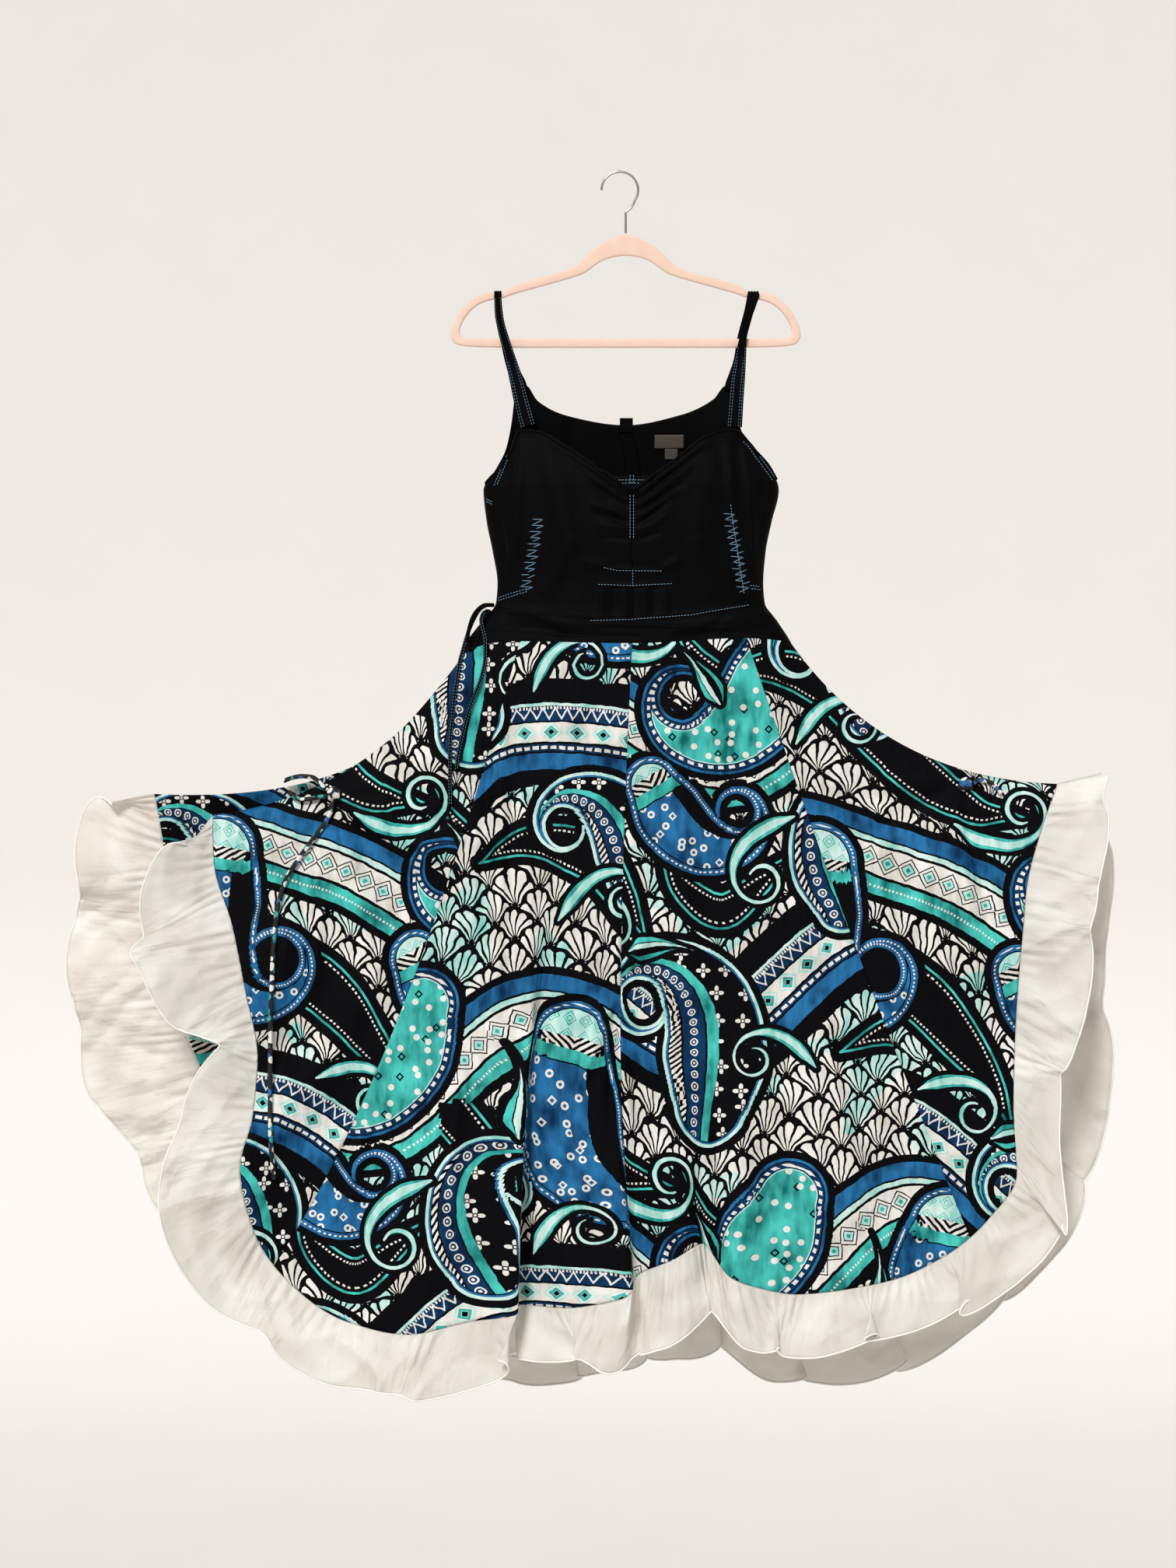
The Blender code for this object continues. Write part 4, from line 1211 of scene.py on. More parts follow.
@dataclass(frozen=True)
class BlackPoplin:
    """Black woven cotton: deep and matt, with a fine weave, slubs and a little lint.

    The threads are drawn about three times as coarse as real ones, so that they show.
    """

    dark: str = "#040405"
    light: str = "#0A0A0B"
    lint: str = "#A9ACB4"
    thread: float = 1.3 * MM
    slub: float = 9 * MM
    depth: float = 0.22 * MM

    def make(self) -> Material:
        """Make the black cloth.

        Returns:
            The material.
        """
        material, shader, place = start_material(
            "black_cotton_poplin", Roughness=0.5, Specular_IOR_Level=0.03, Sheen_Weight=0.05,
            Sheen_Roughness=0.35, Sheen_Tint=self.lint,
        )
        slubs = lumps(place, self.slub, scale=(1.0, 1.0, 0.16))
        weave = weave_height(place, self.thread)
        paint = layers(self.dark, (slubs * 0.7 + weave * 0.3, self.light))
        dress_shader(shader, paint, weave * 0.6 + slubs, self.depth)
        return material


@dataclass(frozen=True)
class SilkVoile:
    """Voile: thin, crisp and half sheer, with gathers off its seam and sharp creases.

    Its sizes are in the millimetres of the voile's own plane, apart from the depth and the thread,
    which is drawn coarser than real.
    """

    name: str = "ivory_silk_voile"
    light: str = "#FEFCF6"
    shade: str = "#E7E1D9"
    glow: str = "#FBF7EC"
    patch: float = 85.0
    creases: tuple[float, float] = (46.0, 19.32)
    gather: float = 9.0
    thread: float = 1.2 * MM
    depth: float = 0.5 * MM
    bend: tuple[float, float] = (50.0, 60.0)
    heights: tuple[float, ...] = (10.0, 2.4, 5.0, 0.3)
    patch_start: float = 0.36
    patch_gain: float = 3.4
    lit_through: float = 0.22
    clear: float = 0.1

    def make(self) -> Material:
        """Make the voile, part of whose light passes through.

        Returns:
            The material.
        """
        material, shader, place = start_material(
            self.name, Roughness=0.5, Specular_IOR_Level=0.4, Sheen_Weight=0.2, Sheen_Roughness=0.4
        )
        tree = material.node_tree
        plane = add_node(tree, "Attribute", attribute_name=VOILE_PLANE).outputs["Vector"]
        u, v, _ = terms(add_node(tree, "SeparateXYZ", {0: plane}))
        du, dv = shifts(plane, *self.bend)
        moved = add_node(tree, "CombineXYZ", {0: u + du, 1: (v + dv) * 0.7}).outputs[0]
        broad, small = [
            Term(add_node(
                tree, "TexVoronoi", {"Vector": moved, "Scale": 1 / size}, voronoi_dimensions="2D"
            ).outputs["Distance"])
            for size in self.creases
        ]
        gathers = lumps(plane, self.gather, scale=(1.0, 0.13, 1.0))
        creased, finer, drawn, woven = self.heights
        weave = weave_height(place, self.thread)
        height = broad * creased + small * finer + gathers * drawn + weave * woven
        share = (lumps(plane, self.patch, 3.0) - self.patch_start) * self.patch_gain
        dress_shader(shader, layers(self.shade, (share, self.light)), height, self.depth)
        through = add_node(tree, "BsdfTranslucent", {"Color": self.glow})
        surface = shader.outputs[0]
        for share, other in ((self.lit_through, through), (self.clear, add_node(tree, "BsdfTransparent"))):
            inputs = {0: share, 1: surface, 2: other.outputs[0]}
            surface = add_node(tree, "MixShader", inputs).outputs[0]
        feed(tree.nodes["Material Output"], {"Surface": surface})
        return material


@dataclass(frozen=True)
class Thread:
    """Spun sewing thread: matt, with a twist that darkens it in turn."""

    name: str
    light: str
    dark: str
    twist: float = 0.9 * MM
    depth: float = 0.1 * MM

    def make(self) -> Material:
        """Make the thread.

        Returns:
            The material.
        """
        material, shader, place = start_material(self.name, Roughness=0.7, Sheen_Weight=0.2)
        twist = lumps(place, self.twist)
        dress_shader(shader, layers(self.dark, (twist, self.light)), twist, self.depth)
        return material


@dataclass(frozen=True)
class WovenSatin:
    """Woven satin of the blank label: a soft gloss over fine ribs."""

    light: str = "#52463B"
    dark: str = "#372F28"
    rib: float = 1.1 * MM
    depth: float = 0.1 * MM

    def make(self) -> Material:
        """Make the satin.

        Returns:
            The material.
        """
        material, shader, place = start_material("woven_satin_taupe", Roughness=0.42, Sheen_Weight=0.15)
        z = terms(add_node(material.node_tree, "SeparateXYZ", {0: place}))[2]
        ribs = (z * (2 * math.pi / self.rib)).sine() * 0.5 + 0.5
        dress_shader(shader, layers(self.dark, (ribs, self.light)), ribs, self.depth)
        return material


@dataclass(frozen=True)
class PrintedTie:
    """Printed cotton of the narrow ties: small pieces of the print in black, teal and white."""

    black: str = "#0A0A0D"
    flecks: tuple = ((0.25, "#2D9C90"), (0.42, "#1F629C"), (0.6, "#E6E4DC"))
    fleck: float = 9 * MM
    outline: float = 0.52
    slub: float = 1.2 * MM
    depth: float = 0.3 * MM

    def make(self) -> Material:
        """Make the tie's cloth from the place on the piece.

        Returns:
            The material.
        """
        material, shader, place = start_material("batik_cotton_ties", Roughness=0.75)
        tree = material.node_tree
        cells = add_node(tree, "TexVoronoi", {"Vector": place, "Scale": 1 / self.fleck})
        draw = terms(add_node(tree, "SeparateColor", {0: cells.outputs["Color"]}))[0]
        edge = Term(cells.outputs["Distance"]) > self.outline
        coats = [(draw > share, colour) for share, colour in self.flecks]
        paint = layers(self.black, *coats, (edge, self.black))
        dress_shader(shader, paint, lumps(place, self.slub), self.depth)
        return material


@dataclass(frozen=True)
class Inside:
    """The inside of one layer's strokes, with the coats of dye that each motif has there.

    s runs along the stroke and t across it, d is the depth inside its edge and width its half
    width, all in millimetres. q runs from -1 to 1 across it.
    """

    s: Term
    t: Term
    q: Term
    d: Term
    width: Term
    dyes: dict[str, Paint]
    marks: dict[str, Term]

    def paint(self, motif: Motif) -> Paint:
        """Colour of a motif inside its outline."""
        base, *coats = getattr(self, motif.name.lower())()
        return layers(self.dyes[base], *((mask, self.dyes[name]) for mask, name in coats))

    def beads(self, pitch: float, share: float) -> Term:
        """1 on marks that come again along the stroke and fill a share of it."""
        return (self.s / pitch).fract() < share

    def off_row(self, pitch: float, place: Term) -> Term:
        """Signed distance from the nearest of a row of even steps."""
        return ((place / pitch).fract() - 0.5) * pitch

    def river(self) -> tuple:
        """Broad band: a blue bank, a path with stones, and a bank of zigzags.

        Returns:
            The first dye, then a mask and a dye for each coat.
        """
        q, path = self.q, self.q.between(-0.19, 0.2)
        stone = abs(self.off_row(34.0, self.s)) + abs(self.t) * 1.1
        zigzag = abs((self.s / 15.0).fract() - 0.5) * 1.5 + 0.12
        return (
            "black",
            (q.between(-0.76, -0.43), "blue"),
            (q.between(-0.39, -0.24), "navy"),
            (q.between(-0.35, -0.28) * self.beads(12.0, 0.7), "white"),
            (path, "white"),
            (path * stone.between(12.5, 16.0), "aqua"),
            (path * stone.between(4.6, 9.5), "teal"),
            (path * (stone < 4.2), "black"),
            (q.between(0.24, 0.53), "navy"),
            (q.between(0.25, 0.52) * (abs((q - 0.24) / 0.29 - zigzag) < 0.11), "white"),
            (q.between(0.47, 0.53) * self.beads(4.0, 0.5), "white"),
            (q.between(0.54, 0.6), "aqua"),
        )

    def links(self) -> tuple:
        """Band with a chain of squares between a teal and a blue bank.

        Returns:
            The first dye, then a mask and a dye for each coat.
        """
        q, lane = self.q, self.q.between(-0.42, 0.3)
        square = abs(self.off_row(27.0, self.s)) + abs(self.t + self.width * 0.06)
        return (
            "black",
            (q.between(-0.93, -0.5), "teal"),
            (q.between(-0.74, -0.68) * self.beads(5.0, 0.5), "white"),
            (lane, "white"),
            (lane * (square.between(13.4, 15.6) + square.between(7.6, 9.4)), "black"),
            (lane * square.between(3.4, 7.6), "aqua"),
            (lane * (square < 3.4), "teal"),
            (q.between(0.37, 0.5), "aqua"),
            (q.between(0.55, 0.94), "blue"),
        )

    def swirl(self) -> tuple:
        """Black swoop with a teal line and a row of beads inside its edge."""
        beads = self.d.between(12.0, 14.5) * self.beads(6.0, 0.5)
        return "black", (self.d.between(5.0, 8.0), "teal"), (beads, "white")

    def curl(self) -> tuple:
        """Teal tendril with a paler middle."""
        return "teal", (abs(self.q) < 0.42, "aqua")

    def leaf(self) -> tuple:
        """Teal leaf with a black heart and a pale vein."""
        return "teal", (abs(self.q) < 0.5, "black"), (self.q.between(0.06, 0.42), "aqua")

    def night(self) -> tuple:
        """Paisley with flowers on black, a teal rib, a lane of rings and a chevron edge.

        Returns:
            The first dye, then a mask and a dye for each coat.
        """
        q, d, inner = self.q, self.d, self.d > 10.8
        off, side = self.off_row(15.0, self.s), (q - 0.36) * self.width
        ring = (off * off + side * side).root()
        lane = inner * q.between(0.14, 0.58)
        chevron = ((self.s + self.t * 0.9) / 8.5).fract() < 0.5
        return (
            "aqua",
            (d.between(7.0, 9.4), "blue"),
            (d > 9.4, "black"),
            (inner * (q < -0.12) * self.marks["flowers"], "white"),
            (inner * q.between(-0.12, 0.1), "teal"),
            (lane, "navy"),
            (lane * (ring.between(3.6, 5.4) + (ring < 1.7)), "white"),
            (inner * (q > 0.62) * chevron, "white"),
        )

    def sea(self) -> tuple:
        """Paisley with a beaded navy edge round dotted teal.

        Returns:
            The first dye, then a mask and a dye for each coat.
        """
        d, inner = self.d, self.d > 17.6
        return (
            "blue",
            (d.between(6.4, 7.8), "black"),
            (d.between(7.8, 16.2), "navy"),
            (d.between(10.0, 14.2) * self.beads(9.5, 0.52), "white"),
            (d.between(16.2, 17.6), "aqua"),
            (inner, "teal"),
            (inner * self.marks["diamonds"], "black"),
            (inner * self.marks["dots"], "white"),
        )

    def sky(self) -> tuple:
        """Paisley of blue with rings and a black crescent, its head and collar in other dyes.

        Returns:
            The first dye, then a mask and a dye for each coat.
        """
        s, t, d, inner = self.s, self.t, self.d, self.d > 12.6
        head, collar = inner * (s < -10.0), inner * s.between(-10.0, 6.0)
        square = abs(self.off_row(21.0, s)) + abs(self.off_row(21.0, t))
        chevron = ((s + abs(t) * 0.8) / 9.0).fract() < 0.5
        return (
            "blue",
            (d.between(6.0, 8.2) * self.beads(4.6, 0.5), "white"),
            (d.between(11.0, 12.6), "black"),
            (inner * self.marks["rings"], "white"),
            (inner * self.marks["diamonds"], "white"),
            (inner * (self.q > 0.4), "black"),
            (inner * s.between(6.0, 22.0), "teal"),
            (head, "aqua"),
            (head * (square.between(7.5, 9.0) + square.between(3.4, 4.8)), "teal"),
            (collar, "black"),
            (collar * chevron * (abs(t) < self.width * 0.7), "white"),
            (inner * s.between(20.6, 22.4), "black"),
        )


# Dyes of the print, each with its deepest and its palest wash
DYES = (
    ("white", "#CCC6BD", "#F0EDE7"),
    ("aqua", "#7CC8BE", "#D6EBE4"),
    ("teal", "#0E6A66", "#4FCBC0"),
    ("blue", "#0A2D50", "#2A73A8"),
    ("navy", "#071B33", "#113A62"),
)


# Marks scattered on the print, for rings and dots, diamonds and flowers: spacing, how uneven it
# is, and how distance is measured
MARKS = ((17.0, 0.75, "EUCLIDEAN"), (40.0, 0.8, "MANHATTAN"), (29.0, 0.45, "EUCLIDEAN"))


@dataclass(frozen=True)
class BatikCotton:
    """Printed cotton: wax-drawn shells, paisleys and bands in black, white, teal and blue.

    The dye pools in washes and its edges waver. The threads are drawn coarser than real ones.
    Sizes on the print are in millimetres.
    """

    black: str = "#08080B"
    thread: float = 1.3 * MM
    crinkle: float = 7 * MM
    depth: float = 0.5 * MM
    shell: tuple[float, float] = (31.0, 46.0)
    petal_turn: float = 27.0
    inner_line: float = 2.9
    waver: tuple[float, float] = (13.0, 4.0)
    drift: tuple[float, float] = (90.0, 46.0)
    wash: float = 11.0
    pool: float = 46.0
    tint: float = 120.0

    def make(self) -> Material:
        """Make the print from the coordinates that the layout wrote.

        Returns:
            The material.
        """
        material, shader, place = start_material(
            "batik_printed_cotton", Roughness=0.6, Specular_IOR_Level=0.04
        )
        crinkle = lumps(place, self.crinkle, 3.0, (1.0, 1.0, 0.22))
        height = crinkle * 3.0 + weave_height(place, self.thread) * 0.3
        dress_shader(shader, self.print_colour(material.node_tree), height, self.depth)
        return material

    def print_colour(self, tree: NodeTree) -> Paint:
        """Work out the colour of the print: shells under three layers of strokes.

        Args:
            tree: the material's node tree.

        Returns:
            The colour.
        """
        plane = add_node(tree, "Attribute", attribute_name=PRINT_PLANE).outputs["Vector"]
        dyes, marks = self.dyes(plane), self.marks(plane)
        waver_u, waver_v = shifts(plane, *self.waver)
        drift_u, drift_v = shifts(plane, *self.drift)
        u, v, _ = terms(add_node(tree, "SeparateXYZ", {0: plane}))
        paint = self.shells(u + waver_u + drift_u, v + waver_v + drift_v, dyes)
        for layer, (field, outline) in enumerate(LAYERS):
            (s, t, past), (kind, width, _) = self.read(tree, field), self.read(tree, field + KIND)
            d = width - (t * t + past * past).root() + waver_v * 0.5
            t = t + waver_v
            inside = Inside(s + waver_u, t, t / width, d, width, dyes, marks)
            fills = [(kind.near(motif.value), inside.paint(motif)) for motif in self.motifs(layer)]
            fill = layers(dyes["black"], *fills)
            inked = layers(dyes["black"], (d > self.inner_line, fill))
            paint = layers(paint, (d > -outline, inked))
        return paint

    def read(self, tree: NodeTree, field: str) -> list[Term]:
        """The three numbers that the cloth holds in one of the print's fields."""
        held = add_node(tree, "Attribute", attribute_name=field).outputs["Vector"]
        return terms(add_node(tree, "SeparateXYZ", {0: held}))

    def motifs(self, layer: int) -> list[Motif]:
        """Motifs that a layer of the print holds."""
        held = {row[0] for row in (*RIVERS, *SWOOPS, *COMMAS) if row[1] == layer}
        return [motif for motif in Motif if motif in held]

    def dyes(self, plane: NodeSocket) -> dict[str, Paint]:
        """Mix the dyes, each a wash between two depths of its colour.

        Args:
            plane: the place on the print.

        Returns:
            Each dye's colour by name.
        """
        wash = lumps(plane, self.wash, 4.0, (1.0, 0.3, 1.0))
        depth = (wash * 0.6 + lumps(plane, self.pool) * 0.75 - 0.48) * 3.1
        dyes = {name: layers(deep, (depth, pale)) for name, deep, pale in DYES}
        return {**dyes, "black": self.black}

    def marks(self, plane: NodeSocket) -> dict[str, Term]:
        """Scatter rings, dots, diamonds and small four-leaved flowers.

        Args:
            plane: the place on the print.

        Returns:
            Each mark's mask by name.
        """
        tree = plane.id_data
        rounds, squares, flowers = [
            add_node(
                tree, "TexVoronoi", {"Vector": plane, "Scale": 1 / size, "Randomness": uneven},
                voronoi_dimensions="2D", distance=distance,
            )
            for size, uneven, distance in MARKS
        ]
        off, square, reach = [Term(cell.outputs["Distance"]) for cell in (rounds, squares, flowers)]
        draw = terms(add_node(tree, "SeparateColor", {0: rounds.outputs["Color"]}))[0]
        ends = {0: plane, 1: flowers.outputs["Position"]}
        gap = add_node(tree, "VectorMath", ends, operation="SUBTRACT").outputs[0]
        x, y, _ = terms(add_node(tree, "SeparateXYZ", {0: gap}))
        petal = abs((y.work("ARCTAN2", x) * 2.0).work("COSINE"))
        return {
            "rings": off.between(0.12, 0.28) * (draw > 0.42),
            "dots": (off < 0.24) * (draw > 0.5),
            "diamonds": square.between(0.07, 0.14),
            "flowers": (reach < petal * 0.32) * (reach > 0.1) + (reach < 0.055),
        }

    def shells(self, u: Term, v: Term, dyes: dict[str, Paint]) -> Paint:
        """Lay overlapping shells of tapered petals, black between them.

        Args:
            u: place along the print.
            v: place up the print.
            dyes: the dyes by name.

        Returns:
            The colour.
        """
        x, y = u / self.shell[0], v / self.shell[1] * 2.0
        odd = (y.floor() * 0.5).fract() * 2.0
        lower_x = (x * 0.5 - odd * 0.5 + 0.5).fract() * 2.0 - 1.0
        upper_x = (x * 0.5 + odd * 0.5).fract() * 2.0 - 1.0
        upper_y = y.fract() * 0.5
        lower_y = upper_y + 0.5
        front = (lower_x * lower_x + lower_y * lower_y).root() < 1.0
        px = upper_x + (lower_x - upper_x) * front
        py = upper_y + (lower_y - upper_y) * front
        radius = (px * px + py * py).root()
        fan = px.work("ARCTAN2", py) / math.radians(self.petal_turn)
        slot = (fan + 0.5).fract() - 0.5
        gap = (radius * 0.8 + 0.33) / (radius * 9.0)
        petal = (abs(slot) < gap * -1.0 + 0.5) * (radius < slot * slot * -0.5 + 0.91) * (radius > 0.12)
        plane = add_node(u.socket.id_data, "CombineXYZ", {0: u, 1: v}).outputs[0]
        tint = lumps(plane, self.tint, 1.0).between(0.55, 1.0)
        return layers(dyes["black"], (petal, layers(dyes["white"], (tint, dyes["aqua"]))))


# Routes of the straps: x, y, z and width
LEFT_STRAP = (
    (-118, -13.5, -327.3, 21), (-124, -14, -305, 20), (-133, -13, -268, 17), (-143, -10, -232, 12),
    (-151, -7, -205, 10), (-156, -5, -180, 8.5), (-156.8, -4.3, -163, 8), (-157, -4, -157.2, 8),
    (-157, -2.7, -154.2, 8), (-157, 0, -153.5, 8), (-157, 2.7, -154.2, 8), (-157, 4, -157.2, 8),
    (-156.8, 4.3, -163, 8), (-155, 5, -185, 9), (-148, 7, -214, 11), (-141.5, 7, -238, 14),
    (-135, 5.4, -258, 16), (-130, 4.7, -271, 19), (-128.5, 4.4, -280, 21),
)
RIGHT_STRAP = (
    (146.5, -13, -328, 20), (148, -14, -305, 19), (151, -13, -268, 18), (155, -10, -236, 13),
    (159, -7, -208, 8), (165, -5, -182, 11), (170, -4.3, -164, 14), (171.5, -4, -157.2, 15),
    (171.5, -2.7, -154.2, 12.5), (171.5, 0, -153.5, 12.5), (171.5, 2.7, -154.2, 12.5),
    (171.5, 4, -157.2, 12.5), (170, 4.3, -164, 12), (164, 5, -186, 11), (157, 7, -214, 11),
    (153.5, 7, -240, 13), (149, 5.4, -258, 16), (146, 4.7, -271, 20), (145, 4.4, -280, 22),
)
# Routes of the ties: x, y and z
WAIST_TIE_OUTER = (
    (-163.8, -0.5, -555.5), (-170, -2, -556), (-179, -4.5, -561), (-187, -5.5, -573),
    (-195, -6.5, -592), (-202, -11, -616), (-205, -15.4, -628), (-207, -18.8, -640), (-211, -22, -670),
    (-214, -24.8, -702), (-217, -27.4, -740), (-217, -29.6, -775), (-216, -33, -815),
)
WAIST_TIE_INNER = (
    (-169.9, -1.5, -563), (-175, -5, -566), (-178, -12, -575), (-175, -19.6, -590), (-172, -24, -604),
    (-172, -26.6, -622), (-177, -27.8, -650), (-187, -28, -676), (-195, -28.2, -700),
    (-202, -28.7, -728), (-207, -29, -752), (-209, -29.8, -770),
)
WAIST_LOOP = (
    (-162, -1.5, -556), (-172, -5, -556), (-183, -8, -563), (-191, -9.5, -578), (-195, -11, -598),
    (-192, -13, -614), (-185, -14, -610), (-180, -12.5, -592), (-174, -9, -574), (-167, -6, -563),
)
BOW_LEFT_UPPER = (
    (-374.6, -19, -794), (-381, -18, -788), (-395, -14, -777), (-408, -12, -776), (-420, -12, -778),
    (-431, -11, -782),
)
BOW_LEFT_LOWER = (
    (-374.8, -19, -801), (-386, -16.5, -803), (-397, -15.5, -805), (-408, -13.5, -806),
    (-418, -11, -802), (-425, -9, -796),
)
BOW_LEFT_HANGING = (
    (-367, -19.5, -807), (-372, -21.5, -826), (-392, -24.2, -856), (-412, -26.8, -884),
    (-428, -29.8, -912), (-437, -34.5, -950), (-441, -42, -1000), (-442, -44.9, -1040),
    (-443, -46, -1060), (-444, -46.2, -1120), (-444, -48, -1150), (-443, -54.4, -1180),
    (-442, -63.2, -1212), (-441, -63.4, -1240), (-438, -54.5, -1285),
)
BOW_RIGHT_TAIL = (
    (451.4, -17, -785), (461, -12.5, -781), (473, -12, -783), (482, -13.6, -790), (488, -17, -798),
)
# Small creases of the bodice: both ends as x and z, half width and height
BODICE_CREASES = (
    (-129, -345, -139, -545, 2.4, -1.0), (151, -340, 171, -545, 2.4, -1.0),
    (-127, -342, -140, -545, 9, 4.2), (160, -350, 172, -548, 8, 4.2), (138, -345, 142, -440, 7, 2.6),
    (-96, -348, -52, -520, 16, 3.4), (118, -360, 92, -520, 16, 2.6), (-90, -350, 8, -415, 4.5, 3.6),
    (-80, -356, 6, -424, 4.0, -2.6), (-60, -374, 10, -430, 4.5, 3.0), (-40, -404, 11, -434, 3.6, -2.4),
    (-38, -430, 12, -444, 4.2, 2.8), (-34, -441, 11, -454, 3.4, -2.4), (-30, -456, 12, -463, 4.2, 2.4),
    (-22, -472, 13, -475, 3.4, -2.0), (118, -345, 22, -420, 4.5, 3.8), (110, -354, 20, -428, 4.0, -2.8),
    (92, -380, 20, -434, 4.5, 3.4), (82, -402, 24, -440, 3.6, -2.6), (74, -412, 22, -448, 4.2, 3.0),
    (66, -421, 22, -457, 3.4, -2.6), (60, -446, 20, -466, 4.2, 2.6), (53, -466, 19, -476, 3.4, -2.2),
    (-50, -500, -16, -512, 6, 2.0), (78, -500, 52, -512, 6, 2.0), (-22, -530, -24, -574, 4, 2.2),
    (-8, -532, -9, -576, 4, -2.0), (5, -534, 6, -578, 4, 2.4), (30, -534, 31, -574, 4, 2.2),
    (42, -534, 44, -572, 4, -1.8), (56, -532, 60, -570, 4, 2.2), (-21, -511, 56, -515, 2.0, 1.3),
    (-28, -533, 66, -532, 2.0, 1.3), (-26, -537, 64, -536, 2.2, -1.0), (-60, -470, -96, -548, 9, 2.2),
    (96, -470, 118, -552, 9, 2.2), (-158, -560, -40, -588, 7, 2.6), (-150, -584, -20, -596, 5, -1.6),
    (200, -566, 60, -592, 7, 2.6), (190, -588, 70, -598, 5, -1.6), (-120, -575, -60, -600, 6, -1.8),
    (140, -572, 90, -600, 6, -1.8), (-60, -581, 122, -587, 2.4, 1.5), (122, -587, 205, -592, 2.4, 1.5),
    (-176, -592, 30, -599, 3.0, -1.4), (-146, -566, 12, -577, 2.4, 1.2),
    (12, -577, 160, -562, 2.4, 1.2),
)
BODICE_BACK_CREASES = (
    (-60, -300, -74, -420, 10, 1.6), (86, -300, 96, -430, 10, 1.6), (-110, -320, -120, -520, 10, 2.4),
    (140, -320, 150, -520, 10, 2.4), (-40, -420, -60, -545, 9, 1.8), (60, -420, 84, -545, 9, 1.8),
    (-150, -420, -60, -470, 10, -1.6), (185, -420, 96, -480, 10, -1.6), (-140, -560, -40, -590, 9, 1.8),
    (180, -560, 70, -592, 9, 1.8),
)
BACK_CREASES = (
    (-120, -640, -180, -1000, 11, 4.0), (-60, -660, -84, -1060, 12, 3.0),
    (10, -640, 14, -1000, 10, -2.6), (70, -650, 96, -1080, 12, 3.4), (140, -640, 206, -1000, 11, 4.0),
    (190, -700, 280, -1080, 11, -3.2), (-220, -720, -330, -1060, 12, 4.6),
    (-260, -760, -420, -980, 12, -4.0), (260, -720, 370, -1020, 12, 4.4),
    (-140, -1060, -176, -1400, 11, 4.6), (-30, -1040, -36, -1390, 11, -3.6),
    (60, -1040, 70, -1390, 10, 4.2), (200, -1060, 250, -1400, 12, 4.6),
    (320, -980, 410, -1280, 12, 4.2), (-380, -940, -500, -1160, 12, 4.6),
)


FRONT_SKIRT = SkirtFace(
    Face.FRONT, FRONT_RIBS, FRONT_FOLDS, FRONT_SKIRT_TOP, 58 * MM, SKIRT_CREASES, SKIRT_GATHERS
)
BACK_SKIRT = SkirtFace(
    Face.BACK, BACK_RIBS, BACK_FOLDS, BACK_SKIRT_TOP, 46 * MM, BACK_CREASES, ()
)


